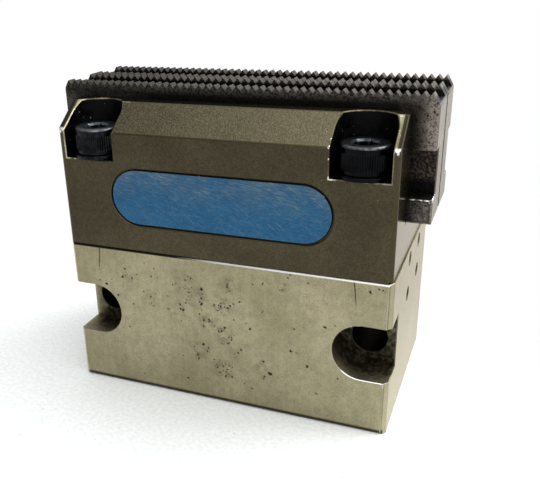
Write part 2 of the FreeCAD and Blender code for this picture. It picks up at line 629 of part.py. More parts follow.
def build_wedge_rod():
    body = new_body("wedge_rod")
    rod = half("rod")
    spigot = half("spigot")
    thread = "(%s + %s)" % (half("piston_screw_thread"), size("thread_clearance"))
    screw_end = "(%s + %s)" % (SCREW_SEAT, size("piston_screw_length"))
    thread_top = "(%s + %s)" % (screw_end, size("piston_thread_spare"))
    revolve(body, [
        (thread, SCREW_SEAT), (spigot, SCREW_SEAT), (spigot, PISTON_TOP), (rod, PISTON_TOP), (rod, ROD_TOP),
        ("0", ROD_TOP), ("0", thread_top), (thread, thread_top)])

    web = new_sketch(body, "XZ_Plane")
    add_rectangle(web, "-" + half("web_width"), "(%s - %s)" % (ROD_TOP, BEYOND), half("web_width"), WEB_TOP)
    pad(body, web, size("web_thickness"), side="Symmetric")

    reach = half("rib_length")
    front_rib = rib_corners("(-%s)" % reach, reach, size("rib_width"))
    for corners, backwards in ((front_rib, False), ([("(-%s)" % x, z) for x, z in front_rib], True)):
        rib = new_sketch(body, "XZ_Plane")
        add_outline(rib, corners)
        pad(body, rib, size("rib_reach"), reverse=backwards)
    return body


def build_piston():
    body = new_body("piston")
    fit = size("fit_clearance")
    bore = "(%s + %s)" % (half("spigot"), fit)
    ring_bottom = "(%s - %s / 2 - %s)" % (ROD_RING_MIDDLE, size("rod_ring"), fit)
    ring_top = "(%s + %s / 2 + %s)" % (ROD_RING_MIDDLE, size("rod_ring"), fit)
    ring_outside = "(%s + %s + 2 * %s)" % (bore, size("rod_ring"), fit)
    guide_seat = "(%s - %s - %s)" % (SLIDING_RADIUS, size("guide_ring_depth"), fit)
    seal_seat = "(%s - %s - %s)" % (SLIDING_RADIUS, size("piston_seal_depth"), fit)
    recess = half("screw_recess")
    edge = "(%s - %s)" % (PISTON_RADIUS, size("piston_chamfer"))
    low_edge = "(%s + %s)" % (PISTON_BOTTOM, size("piston_chamfer"))
    high_edge = "(%s - %s)" % (PISTON_TOP, size("piston_chamfer"))
    revolve(body, [
        (recess, PISTON_BOTTOM), (edge, PISTON_BOTTOM), (PISTON_RADIUS, low_edge),
        (PISTON_RADIUS, GUIDE_RING_BOTTOM), (guide_seat, GUIDE_RING_BOTTOM),
        (guide_seat, GUIDE_RING_TOP), (PISTON_RADIUS, GUIDE_RING_TOP),
        (PISTON_RADIUS, PISTON_SEAL_BOTTOM), (seal_seat, PISTON_SEAL_BOTTOM),
        (seal_seat, PISTON_SEAL_TOP), (PISTON_RADIUS, PISTON_SEAL_TOP), (PISTON_RADIUS, high_edge),
        (edge, PISTON_TOP), (bore, PISTON_TOP), (bore, ring_top), (ring_outside, ring_top),
        (ring_outside, ring_bottom), (bore, ring_bottom), (bore, SCREW_SEAT), (recess, SCREW_SEAT)])
    return body


def build_piston_screw():
    """Flat-headed screw from below, its head against the piston."""
    body = new_body("piston_screw")
    head = half("piston_screw_head")
    thread = half("piston_screw_thread")
    bottom = "(%s - %s)" % (SCREW_SEAT, size("piston_screw_head_height"))
    top = "(%s + %s)" % (SCREW_SEAT, size("piston_screw_length"))
    revolve(body, [("0", bottom), (head, bottom), (head, SCREW_SEAT), (thread, SCREW_SEAT), (thread, top),
                   ("0", top)])
    hexagon = new_sketch(body, "XY_Plane", bottom)
    add_outline(hexagon, hexagon_corners(size("piston_screw_hex")))
    pocket(body, hexagon, size("piston_screw_hex_depth"), reverse=True)
    return body


def build_cylinder_cap():
    body = new_body("cylinder_cap")
    seal = size("cap_seal")
    fit = size("fit_clearance")
    groove = "(%s - %s - %s)" % (half("cap_diameter"), seal, fit)
    low = "(%s - %s / 2 - %s)" % (CAP_SEAL_MIDDLE, seal, fit)
    high = "(%s + %s / 2 + %s)" % (CAP_SEAL_MIDDLE, seal, fit)
    revolve(body, [
        ("0", RING_TOP), (CAP_RADIUS, RING_TOP), (CAP_RADIUS, low), (groove, low), (groove, high),
        (CAP_RADIUS, high), (CAP_RADIUS, CAP_TOP), ("0", CAP_TOP)])
    return body


def build_retaining_ring():
    """Open spring ring with an ear at each end."""
    body = new_body("retaining_ring")
    outside = "(%s - %s)" % (half("ring_groove"), size("fit_clearance"))
    inside = "(%s - %s)" % (outside, size("ring_width"))
    bottom = size("ring_offset")
    revolve(body, [(inside, bottom), (outside, bottom), (outside, RING_TOP), (inside, RING_TOP)])
    gap = new_sketch(body, "XY_Plane", bottom)
    add_rectangle(gap, "-" + half("ring_gap"), "0", half("ring_gap"), "(%s + %s)" % (outside, BEYOND))
    pocket(body, gap, reverse=True)
    ear_x = "(%s + %s)" % (half("ring_gap"), half("ring_ear"))
    ear_y = "(sqrt(%s * %s - %s * %s) - %s)" % (inside, inside, ear_x, ear_x, size("ring_ear_inset"))
    ears = new_sketch(body, "XY_Plane", bottom)
    holes = new_sketch(body, "XY_Plane", bottom)
    for sign in "-+":
        add_circle(ears, sign + ear_x, ear_y, half("ring_ear"))
        add_circle(holes, sign + ear_x, ear_y, half("ring_ear_hole"))
    pad(body, ears, size("ring_thickness"))
    pocket(body, holes, reverse=True)
    return body


def build_cover_screw(label, x, y):
    body = new_body(label)
    head = half("cover_head")
    thread = half("cover_thread")
    edge = size("cover_head_chamfer")
    tall = size("cover_head_height")
    tip = "(-%s)" % size("cover_screw_length")
    revolve(body, [
        ("0", tip), (thread, tip), (thread, "0"), (head, "0"), (head, "(%s - %s)" % (tall, edge)),
        ("(%s - %s)" % (head, edge), tall), ("0", tall)])
    hexagon = new_sketch(body, "XY_Plane", tall)
    add_outline(hexagon, hexagon_corners(size("cover_hex")))
    pocket(body, hexagon, size("cover_hex_depth"))
    place(body, x, y, HEAD_SEAT)
    return body


def build_lock_washer(label, x, y):
    body = new_body(label)
    inside = half("washer_inside")
    outside = half("washer_outside")
    thick = size("washer_thickness")
    revolve(body, [(inside, "0"), (outside, "0"), (outside, thick), (inside, thick)])
    split = new_sketch(body, "XY_Plane")
    add_rectangle(split, "0", "-" + half("washer_split"), size("washer_outside"), half("washer_split"))
    pocket(body, split, reverse=True)
    place(body, x, y, POCKET_FLOOR)
    return body


def build_dowel_pin(label, x):
    pin = doc.addObject("Part::Cylinder", label)
    pin.Label = label
    pin.setExpression("Radius", half("pin_diameter"))
    pin.setExpression("Height", "2 * %s" % size("pin_depth"))
    place(pin, x, "0", "(%s - %s)" % (BASE_TOP, size("pin_depth")))
    return pin


def build_badge_plate():
    body = new_body("badge_plate")
    seat = "(%s - %s)" % (half("base_depth"), size("badge_recess"))
    outline = new_sketch(body, "XZ_Plane", seat)
    middle = "(%s + %s)" % (BASE_TOP, size("badge_rise"))
    length = "(%s - 2 * %s)" % (size("badge_length"), size("badge_gap"))
    height = "(%s - 2 * %s)" % (size("badge_height"), size("badge_gap"))
    add_stadium(outline, "0", middle, length, height)
    pad(body, outline, size("badge_thickness"))
    return body


def place(piece, x, y, z):
    piece.setExpression("Placement.Base.x", x)
    piece.setExpression("Placement.Base.y", y)
    piece.setExpression("Placement.Base.z", z)


def build_seals_and_rings():
    fit = size("fit_clearance")
    guide_seat = "(%s - %s)" % (SLIDING_RADIUS, size("guide_ring_depth"))
    seal_seat = "(%s - %s)" % (SLIDING_RADIUS, size("piston_seal_depth"))
    bush_outside = "(%s - %s)" % (BUSH_RADIUS, fit)
    cap_ring_middle = "(%s - %s / 2 - %s / 2)" % (half("cap_diameter"), size("cap_seal"), fit)
    rod_ring_middle = "(%s + %s / 2 + 2 * %s)" % (half("spigot"), size("rod_ring"), fit)
    return [
        ring("rod_seal", ROD_BORE, bush_outside, SEAL_SEAT, BUSH_SEAT),
        ring("rod_bush", ROD_BORE, bush_outside, BUSH_SEAT, BASE_TOP),
        ring("piston_guide_ring", guide_seat, SLIDING_RADIUS, GUIDE_RING_BOTTOM, GUIDE_RING_TOP),
        ring("piston_seal", seal_seat, SLIDING_RADIUS, PISTON_SEAL_BOTTOM, PISTON_SEAL_TOP),
        o_ring("cap_o_ring", cap_ring_middle, size("cap_seal"), CAP_SEAL_MIDDLE),
        o_ring("rod_o_ring", rod_ring_middle, size("rod_ring"), ROD_RING_MIDDLE)]


def build_fasteners():
    names = ("front_left", "front_right", "rear_left", "rear_right")
    pieces = []
    for name, (x, y) in zip(names, four_corners(COVER_X, COVER_Y)):
        pieces.append(build_cover_screw("cover_screw_" + name, x, y))
        pieces.append(build_lock_washer("lock_washer_" + name, x, y))
    for name, sign in (("left", "-"), ("right", "+")):
        pieces.append(build_dowel_pin("dowel_pin_" + name, sign + half("pin_spacing")))
    return pieces


pieces = [
    build_base_body(),
    build_guide_body(),
    build_jaw("front_jaw", turned=False),
    build_jaw("rear_jaw", turned=True),
    build_wedge_rod(),
    build_piston(),
    build_piston_screw(),
    build_cylinder_cap(),
    build_retaining_ring(),
    build_badge_plate(),
]
pieces += build_seals_and_rings()
pieces += build_fasteners()
doc.recompute()

for item in doc.Objects:
    if "Invalid" in item.State or "Error" in item.State:
        raise RuntimeError("%s did not build" % item.Label)
for piece in pieces:
    if piece.Shape.isNull() or not piece.Shape.isValid() or len(piece.Shape.Solids) != 1:
        raise RuntimeError("%s is not one sound solid" % piece.Label)

os.makedirs("parts", exist_ok=True)
for piece in pieces:
    piece.Shape.exportStep("parts/%s.step" % piece.Label)
    print("%-26s %10.2f mm3" % (piece.Label, piece.Shape.Volume))
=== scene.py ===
# %% [markdown]
# # Dressing a pneumatic gripper
# The object is a used machine part about 7 cm long: a pale aluminium cylinder block, a dark guide
# body screwed on top, and two toothed steel jaws that slide past each other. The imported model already
# holds every piece at its real size. This lesson gives the pieces the surfaces of the real ones:
# broken edges, knurled screws, and finishes that look handled.

# %% Load the frame
import json
import math
import bmesh
import bpy
import numpy as np
from mathutils import Matrix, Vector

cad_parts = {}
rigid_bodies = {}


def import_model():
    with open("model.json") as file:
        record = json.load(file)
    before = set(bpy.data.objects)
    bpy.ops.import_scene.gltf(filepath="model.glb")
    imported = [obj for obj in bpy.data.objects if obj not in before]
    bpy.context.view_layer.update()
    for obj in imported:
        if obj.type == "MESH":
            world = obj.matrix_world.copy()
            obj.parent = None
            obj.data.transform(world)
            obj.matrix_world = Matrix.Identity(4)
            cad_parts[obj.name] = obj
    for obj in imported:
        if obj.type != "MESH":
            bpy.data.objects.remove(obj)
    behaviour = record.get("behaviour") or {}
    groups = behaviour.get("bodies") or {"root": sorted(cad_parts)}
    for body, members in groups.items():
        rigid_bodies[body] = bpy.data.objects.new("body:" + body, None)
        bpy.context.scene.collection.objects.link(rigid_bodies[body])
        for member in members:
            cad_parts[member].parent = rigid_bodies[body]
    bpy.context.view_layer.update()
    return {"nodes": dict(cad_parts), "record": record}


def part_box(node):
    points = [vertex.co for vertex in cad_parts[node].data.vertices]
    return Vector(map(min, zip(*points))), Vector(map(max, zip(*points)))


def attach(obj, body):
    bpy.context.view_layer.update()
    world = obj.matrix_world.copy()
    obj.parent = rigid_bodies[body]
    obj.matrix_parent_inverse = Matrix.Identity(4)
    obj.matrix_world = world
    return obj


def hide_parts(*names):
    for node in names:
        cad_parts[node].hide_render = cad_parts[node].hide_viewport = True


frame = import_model()
MM = 0.001

# %% [markdown]
# ## The camera
# A camera is a place, three angles and a focal length. The focal length is written in pixels of the
# picture, because that is what a perspective fit gives, and is then turned into a lens. The picture is
# a crop, so its optical centre isn't in its middle, and the camera's shift takes up the rest.

# %% Camera
PICTURE_WIDTH, PICTURE_HEIGHT = 540, 480
FOCAL_PIXELS = 706.9
OPTICAL_CENTRE = (220.9, 253.1)
CAMERA_PLACE = np.array([48.72, -130.54, 82.52]) * MM
AZIMUTH, ELEVATION, ROLL = np.radians([23.47, 22.49, -2.03])


def camera_axes(azimuth, elevation, roll):
    """Right, up and forward of a camera that is moved round to +X, raised, and then rolled."""
    level = math.cos(elevation)
    forward = np.array([-math.sin(azimuth) * level, math.cos(azimuth) * level, -math.sin(elevation)])
    right = np.array([math.cos(azimuth), math.sin(azimuth), 0.0])
    up = np.cross(right, forward)
    turned_right = math.cos(roll) * right + math.sin(roll) * up
    turned_up = math.cos(roll) * up - math.sin(roll) * right
    return turned_right, turned_up, forward


def placed(holder, right, up, back, place):
    """Puts a camera or lamp at a place, with its own three axes as given."""
    turn = np.eye(4)
    turn[:3, 0], turn[:3, 1], turn[:3, 2], turn[:3, 3] = right, up, back, place
    holder.matrix_world = Matrix(turn.tolist())
    bpy.context.scene.collection.objects.link(holder)


right, up, forward = camera_axes(AZIMUTH, ELEVATION, ROLL)
lens = bpy.data.cameras.new("camera")
lens.lens = FOCAL_PIXELS / PICTURE_WIDTH * lens.sensor_width
lens.shift_x = (PICTURE_WIDTH / 2 - OPTICAL_CENTRE[0]) / PICTURE_WIDTH
lens.shift_y = (OPTICAL_CENTRE[1] - PICTURE_HEIGHT / 2) / PICTURE_WIDTH
lens.clip_start = 10 * MM
camera = bpy.data.objects.new("camera", lens)
placed(camera, right, up, -forward, CAMERA_PLACE)
bpy.context.scene.camera = camera
bpy.context.scene.view_settings.view_transform = "Standard"
print("lens %.1f mm, shift %.3f, %.3f" % (lens.lens, lens.shift_x, lens.shift_y))

# %% [markdown]
# ## Nodes and colours
# Every finish is a small tree of nodes, which could be put together by hand in the shader editor.
# Written as code it reads in order: one function adds a node, sets it up and links it. Colours are given
# as a screen shows them, in sRGB hex, and one function turns them into the linear values that a shader
# works with.

# %% Nodes and colours


def srgb(code):
    """Linear colour of an sRGB hex code: c / 12.92 near black, else ((c + 0.055) / 1.055) ** 2.4."""
    part = np.array([int(code[at:at + 2], 16) for at in (1, 3, 5)]) / 255
    linear = np.where(part <= 0.04045, part / 12.92, ((part + 0.055) / 1.055) ** 2.4)
    return (*linear.tolist(), 1.0)


def add(tree, kind, *values, named=(), **settings):
    """Adds a node and gives its first output. Values fill its inputs in order, or by their names:
    a socket is linked, and a number is set."""
    node = tree.nodes.new("ShaderNode" + kind)
    for name, setting in settings.items():
        setattr(node, name, setting)
    in_use = [socket for socket in node.inputs if socket.enabled]
    by_name = [(node.inputs[name], value) for name, value in dict(named).items()]
    for socket, value in list(zip(in_use, values)) + by_name:
        if isinstance(value, bpy.types.NodeSocket):
            tree.links.new(value, socket)
        else:
            socket.default_value = value
    return next((socket for socket in node.outputs if socket.enabled), None)


print("#808080 on the screen is %.3f in linear light" % srgb("#808080")[0])

# %% [markdown]
# ## Light
# A broad soft light comes from the right and behind, so the right ends shine and the front is calm. A
# picture of a room could light the object, but one soft sky that is brighter on that side, with two
# large square lamps, does the same with a few numbers.

# %% Sky
LIGHT_FROM = (0.42, 0.24, 0.87)
SKY_DARK, SKY_LIGHT = 0.32, 1.60

world = bpy.data.worlds.new("sky")
bpy.context.scene.world = world
world.use_nodes = True
sky = world.node_tree
sky.nodes.clear()
towards = add(sky, "TexCoord").node.outputs["Generated"]
facing = add(sky, "VectorMath", towards, LIGHT_FROM, operation="DOT_PRODUCT")
glow = add(sky, "MapRange", facing, 0.05, 0.95, SKY_DARK, SKY_LIGHT, interpolation_type="SMOOTHSTEP")
# The camera sees a sky of strength 1 at least, so the background is white all round.
seen = add(sky, "LightPath").node.outputs["Is Camera Ray"]
strength = add(sky, "Math", glow, seen, operation="MAXIMUM")
add(sky, "OutputWorld", add(sky, "Background", (1, 1, 1, 1), strength))
print("sky from", SKY_DARK, "to", SKY_LIGHT)

# %% Lamps


def soft_light(name, place, aim, size, power):
    """A square area light at one point that faces another, all in metres."""
    lamp = bpy.data.lights.new(name, "AREA")
    lamp.size = size
    lamp.energy = power
    place = np.array(place)
    back = place - np.array(aim)
    back = back / np.linalg.norm(back)
    side = np.cross([0, 0, 1], back)
    side = side / np.linalg.norm(side)
    placed(bpy.data.objects.new(name, lamp), side, np.cross(back, side), back, place)


OBJECT_MIDDLE = (0, 0, 0.03)
soft_light("window", (0.34, 0.20, 0.46), OBJECT_MIDDLE, size=0.40, power=2.4)
soft_light("room", (0.15, -0.50, 0.40), OBJECT_MIDDLE, size=0.60, power=1.3)

# %% [markdown]
# ## Masks and layers
# A used surface is one material with something on it: dirt, wear, stains. A mask says where, with a
# number from 0 to 1 at each place, and a finish is a base colour with layers over it, each where its
# mask is. Painted pictures could be masks, but noise and distances need no unwrapping. All patterns
# read the Object coordinates in millimetres, so a scale is one over a real size.

# %% Masks and layers


def start_finish(name):
    """A new material. Gives it, its tree and the place on the object in millimetres."""
    finish = bpy.data.materials.new(name)
    finish.use_nodes = True
    tree = finish.node_tree
    tree.nodes.clear()
    metres = add(tree, "TexCoord").node.outputs["Object"]
    return finish, tree, add(tree, "VectorMath", metres, 1 / MM, operation="SCALE")


def overlap(tree, *masks):
    """The mask where all of some masks hold: their product."""
    whole = masks[0]
    for mask in masks[1:]:
        whole = add(tree, "Math", whole, mask, operation="MULTIPLY")
    return whole


def patches(tree, place, across, low=0.4, high=0.6, detail=2.0):
    """Soft patches about so many millimetres across: noise, 0 below one level and 1 above another."""
    noise = add(tree, "TexNoise", place, 1 / across, detail)
    return add(tree, "MapRange", noise, low, high, interpolation_type="SMOOTHSTEP")


def spots(tree, place, apart, radius, share):
    """Round spots in a share of the cells of a random grid: 1 inside a spot, 0 outside. Each is 0.3 to
    1.5 times the radius, the small ones more often, and soft in its outer part. The share may be a mask,
    so that spots gather where it is high."""
    away = add(tree, "TexVoronoi", place, 1 / apart)
    chance = add(tree, "SeparateColor", away.node.outputs["Color"]).node.outputs
    kept = add(tree, "Math", chance[0], share, operation="LESS_THAN")
    bigness = add(tree, "Math", overlap(tree, chance[1], chance[1]), 1.2, 0.3, operation="MULTIPLY_ADD")
    reach = overlap(tree, bigness, radius / apart, kept)
    return add(tree, "MapRange", away, reach, overlap(tree, reach, 0.6))


def layered(tree, colour, layers):
    """A colour with layers over it. Each layer has a hex code, a strength and a mask."""
    for code, strength, mask in layers:
        amount = overlap(tree, mask, strength)
        colour = add(tree, "Mix", amount, colour, srgb(code), data_type="RGBA")
    return colour


print("patterns are measured in units of %g m" % MM)

# %% [markdown]
# ## Floor
# The object stands on a sheet of white paper with a few crumbs of dirt. A curved backdrop could hide
# the horizon. Here the sheet is flat: it takes the shadow near the object and glows plain white further
# off, so that no horizon shows.

# %% Floor
FLOOR_HALF = 2500 * MM
FLOOR_MIDDLE = (-24.0, -28.0, 0.0)
FLOOR_NEAR, FLOOR_FAR = 34.0, 100.0

sheet_mesh = bpy.data.meshes.new("floor")
edge = np.array([-FLOOR_HALF, FLOOR_HALF])
corners = np.stack([edge[[0, 1, 1, 0]], edge[[0, 0, 1, 1]], np.zeros(4)], axis=1)
sheet_mesh.from_pydata(corners.tolist(), [], [(0, 1, 2, 3)])
floor = bpy.data.objects.new("floor", sheet_mesh)
bpy.context.scene.collection.objects.link(floor)

white_sheet, tree, place = start_finish("white_sheet")
# Real paper fibres are finer, and are drawn 0.8 mm across so that they show.
paper = patches(tree, place, 0.8, 0.3, 0.7, detail=3.0)
littered = patches(tree, place, 14.0, 0.45, 0.6)
crumbs = overlap(tree, spots(tree, place, 1.2, 0.15, 0.35), littered)
colour = layered(tree, srgb("#e8ecec"), [("#f5f7f7", 1.0, paper), ("#7d7a72", 0.8, crumbs)])
relief = add(tree, "Bump", named={"Height": paper, "Distance": 0.03 * MM})
sheet = add(tree, "BsdfPrincipled", named={
    "Base Color": colour, "Roughness": 0.9, "Specular IOR Level": 0.1, "Normal": relief})
far = add(tree, "VectorMath", place, FLOOR_MIDDLE, operation="DISTANCE")
white = add(tree, "MapRange", far, FLOOR_NEAR, FLOOR_FAR, interpolation_type="SMOOTHSTEP")
clean = add(tree, "MapRange", crumbs, 0.0, 1.0, 1.0, 0.5)
paths = add(tree, "LightPath").node.outputs
shown = add(tree, "Math", paths["Is Camera Ray"], paths["Is Glossy Ray"], operation="MAXIMUM")
backdrop = add(tree, "Emission", (1, 1, 1, 1), 1.0)
mixed = add(tree, "MixShader", overlap(tree, white, clean, shown), sheet, backdrop)
add(tree, "OutputMaterial", mixed)
sheet_mesh.materials.append(white_sheet)
print("floor fades to white between", FLOOR_NEAR, "and", FLOOR_FAR, "mm")

# %% [markdown]
# ## Hard-anodised aluminium, pale
# The block is aluminium with a thick anodic layer: matt, slightly olive, with a fine grain left by
# etching. Looked along, it shines, so its roughness falls where it is seen edge-on. Old hard coats get
# small ragged pits in clusters, and oily grime settles in the screw recesses, which are also painted
# darker as shade. A painted picture could show all that, but layers over one colour stay sharp up close
# and go round every corner. Their places are measured from the block's own faces.

# %% Places on the block


def box_mm(node):
    """Lowest and highest corner of a CAD node's box, in millimetres."""
    return [np.array(corner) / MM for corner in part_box(node)]


BLOCK_END, BLOCK_FACE, BLOCK_TOP = box_mm("base_body")[1]


def on_block(tree, place):
    """Where a place on the block is: along it, above its bottom, behind its front face, and in from its
    nearer end."""
    x, y, z = add(tree, "SeparateXYZ", place).node.outputs
    behind = add(tree, "Math", y, BLOCK_FACE, operation="ADD")
    side = add(tree, "Math", x, operation="ABSOLUTE")
    return x, z, behind, add(tree, "Math", BLOCK_END, side, operation="SUBTRACT")


print("block: ends at %.2f, faces at %.2f, top at %.2f mm" % (BLOCK_END, BLOCK_FACE, BLOCK_TOP))

# %% [markdown]
# Pits could be cut into the mesh, but there are hundreds, and colour with a little relief is enough.
# They are spots, shaken by noise until they are ragged, that show near a few worn places. Two hairlines
# mark the thin wall over the screw threads: each is the narrow strip round a wandering line.

# %% Pits and hairlines
# Each worn place has a distance along the front, a height, a reach and a share of pitted cells.
WORN_PLACES = (
    (-19.7, 24.2, 3.2, 0.20), (-15.0, 20.5, 3.6, 0.20), (-8.1, 25.9, 3.6, 0.25), (-4.6, 22.6, 3.4, 0.45),
    (0.6, 21.5, 2.8, 0.55), (-9.2, 18.8, 3.2, 0.30), (-2.7, 18.3, 3.0, 0.40), (0.8, 15.5, 2.8, 0.45),
    (-4.8, 11.0, 2.8, 0.60), (0.3, 7.5, 3.0, 0.55), (8.7, 8.8, 3.2, 0.25), (2.3, 26.4, 2.6, 0.45),
    (12.7, 27.4, 1.2, 0.80), (3.6, 11.6, 2.6, 0.25))
RIPPLES_PER_MM, RIPPLE_REACH = 1.2, 0.9
# How far in from the end a hairline is, near its foot and at the top of the block.
HAIRLINE_LOW, HAIRLINE_HIGH, HAIRLINE_WANDER = 6.55, 7.10, 0.35

pale_anodised, tree, place = start_finish("pale_hard_anodised_aluminium")
x, z, behind, inset = on_block(tree, place)
worn = overlap(
    tree, add(tree, "MapRange", z, 4.0, 20.0, 0.006, 0.016),
    add(tree, "MapRange", behind, 1.0, 10.0, 1.0, 0.4))
for along, height, reach, share in WORN_PLACES:
    away = add(tree, "VectorMath", place, (along, -BLOCK_FACE, height), operation="DISTANCE")
    near = add(tree, "MapRange", away, reach, 0.2 * reach, 0.0, share)
    worn = add(tree, "Math", worn, near, operation="MAXIMUM")
ripple = add(tree, "TexNoise", place, RIPPLES_PER_MM, 4.0).node.outputs["Color"]
shaken = add(tree, "VectorMath", ripple, (RIPPLE_REACH,) * 3, place, operation="MULTIPLY_ADD")
pits = spots(tree, shaken, 0.66, 0.40, worn)
stain = overlap(tree, worn, patches(tree, place, 1.4, 0.40, 0.60, detail=4.0))
freckles = spots(tree, place, 0.55, 0.13, 0.42)

in_front = add(tree, "MapRange", behind, 0.5, 0.3)
wander = add(tree, "TexNoise", place, 1 / 2.0, 1.0)
lean = add(tree, "MapRange", z, BLOCK_TOP - 4.8, BLOCK_TOP + 0.2, HAIRLINE_LOW, HAIRLINE_HIGH)
line = add(tree, "Math", wander, -HAIRLINE_WANDER, lean, operation="MULTIPLY_ADD")
off_line = add(tree, "Math", inset, line, operation="SUBTRACT")
off_line = add(tree, "Math", off_line, operation="ABSOLUTE")
hairline = overlap(
    tree, add(tree, "MapRange", off_line, 0.15, 0.06),
    add(tree, "MapRange", z, BLOCK_TOP - 5.8, BLOCK_TOP - 3.3), in_front)
print(len(WORN_PLACES), "worn places")

# %% [markdown]
# A finish ends in one shader. Relief comes from a Bump node, because these grains are too small to
# model. Dirt in a recess, pale corners and the like are masks between two limits of a distance.

# %% Shader, gloss and limits


def end_finish(tree, colour, metallic, roughness, height, depth, edge_tint="#ffffff"):
    """Shader and output of a finish, with a relief that is so many millimetres high where height is 1.
    The edge tint colours what the surface reflects where it is seen edge-on."""
    relief = add(tree, "Bump", named={"Height": height, "Distance": depth * MM})
    shader = add(tree, "BsdfPrincipled", named={
        "Base Color": colour, "Metallic": metallic, "Roughness": roughness, "Normal": relief,
        "Specular Tint": srgb(edge_tint)})
    add(tree, "OutputMaterial", shader)


def gloss(tree, face_on, edge_on):
    """Roughness that changes from one value to another as the surface turns away from the eye."""
    turned = add(tree, "LayerWeight", 0.5).node.outputs["Facing"]
    return add(tree, "MapRange", turned, 0.5, 0.9, face_on, edge_on)


def inside(tree, value, low, high, soft):
    """The mask where a value lies between two limits, falling to 0 over a soft edge outside them."""
    above = add(tree, "MapRange", value, low - soft, low)
    below = add(tree, "MapRange", value, high + soft, high)
    return overlap(tree, above, below)


mounting = next(mount for mount in frame["record"]["mounts"] if mount["name"] == "mounting_holes")
RECESS_MIDDLE, RECESS_HALF = mounting["pos_m"][2] / MM, 5.5
RECESS_LOW, RECESS_HIGH = RECESS_MIDDLE - RECESS_HALF, RECESS_MIDDLE + RECESS_HALF
print("recesses from %.2f to %.2f mm up" % (RECESS_LOW, RECESS_HIGH))

# %% [markdown]
# The rest of the block's finish is cloudy colour, grain, streaks from wiping, painted shade along the
# foot, dirt and painted shade in the recesses, painted shade in the bores and a little on the end faces,
# and paler corner chamfers.

# %% Block finish
cloud = patches(tree, place, 12.0, 0.3, 0.7)
mottle = patches(tree, place, 1.5, 0.35, 0.7, detail=4.0)
# Etching leaves a grain of a few hundredths of a millimetre, drawn coarser here so that it shows.
grain = patches(tree, place, 0.32, 0.3, 0.7, detail=3.0)
drawn_out = add(tree, "Mapping", place, (0, 0, 0), (0, 0, 0), (1, 1, 20), vector_type="TEXTURE")
wiped = patches(tree, drawn_out, 0.8, 0.4, 0.75)
# Painted shade: the front foot is darkened where the block meets the floor.
foot = overlap(tree, add(tree, "MapRange", z, 1.10, 0.75), in_front)
corner = overlap(tree, inside(tree, inset, 0.10, 0.60, 0.05), add(tree, "MapRange", behind, 0.03, 0.10))
bend = overlap(tree, inside(tree, inset, 0.75, 1.00, 0.10), in_front)
# Painted shade: the end faces are darkened a little.
ends = add(tree, "MapRange", inset, 0.10, 0.02)
sunk = overlap(
    tree, inside(tree, inset, 0.2, 10.6, 0.1), inside(tree, z, RECESS_LOW - 0.1, RECESS_HIGH + 0.1, 0.1),
    inside(tree, behind, 0.2, 37.0, 0.15))
smear = patches(tree, place, 1.0, 0.3, 0.6, detail=5.0)
# Dirt and painted shade: the recesses grow darker further in.
grime_and_shade = overlap(
    tree, sunk, add(tree, "MapRange", behind, 0.4, 3.8, 0.42, 0.97),
    add(tree, "MapRange", smear, 0.0, 1.0, 0.62, 1.0),
    add(tree, "MapRange", x, 0.2 - BLOCK_END, 3.0 - BLOCK_END, 0.30, 1.0))
# Painted shade: the bores are painted near black.
bore_shade = overlap(
    tree, inside(tree, behind, 7.4, 38.0, 0.5), inside(tree, z, 4.0, BLOCK_TOP - 1.2, 0.2),
    add(tree, "MapRange", inset, 0.15, 0.4), add(tree, "MapRange", inset, 2.0, 0.5, 1.0, 0.6))
colour = layered(tree, srgb("#989173"), [
    ("#aaa285", 1.0, cloud), ("#7b7660", 0.35, mottle), ("#6c6851", 0.34, grain),
    ("#b4ad93", 0.14, wiped), ("#2a261b", 0.55, freckles), ("#3f3826", 0.90, stain),
    ("#15120c", 0.94, pits), ("#221d14", 0.90, hairline), ("#c9c2a4", 0.35, corner),
    ("#625d45", 0.50, bend), ("#7a755f", 0.15, ends), ("#15120c", 0.92, foot),
    ("#1d1810", 1.0, grime_and_shade), ("#030302", 1.0, bore_shade)])
raised = add(tree, "Math", grain, 0.3, operation="MULTIPLY")
raised = add(tree, "Math", raised, pits, operation="SUBTRACT")
raised = add(tree, "Math", raised, hairline, operation="SUBTRACT")
end_finish(tree, colour, 0.9, gloss(tree, 0.44, 0.22), raised, 0.015, edge_tint="#fff8ea")
print(pale_anodised.name, "has", len(tree.nodes), "nodes")

# %% [markdown]
# ## Hard-anodised aluminium, dark
# The guide body has a thicker, darker coat, smooth in front. The sloping top has been rubbed and shows
# a fine cross hatch, which is noise drawn out six times along one direction. Its colour also has painted
# shade on the left and a painted sheen on the right. Modelled scratches would need a very fine mesh for
# something that only changes colour and gloss.

# %% Guide body finish
GUIDE_END, _, GUIDE_TOP = box_mm("guide_body")[1]
SLOPE_DROP = 4.65
SLOPE_FOOT = GUIDE_TOP - SLOPE_DROP

dark_anodised, tree, place = start_finish("dark_hard_anodised_aluminium")
x, _, z = add(tree, "SeparateXYZ", place).node.outputs
side = add(tree, "Math", x, operation="ABSOLUTE")
cloud = patches(tree, place, 9.0, 0.3, 0.7)
mottle = patches(tree, place, 1.1, 0.35, 0.7, detail=4.0)
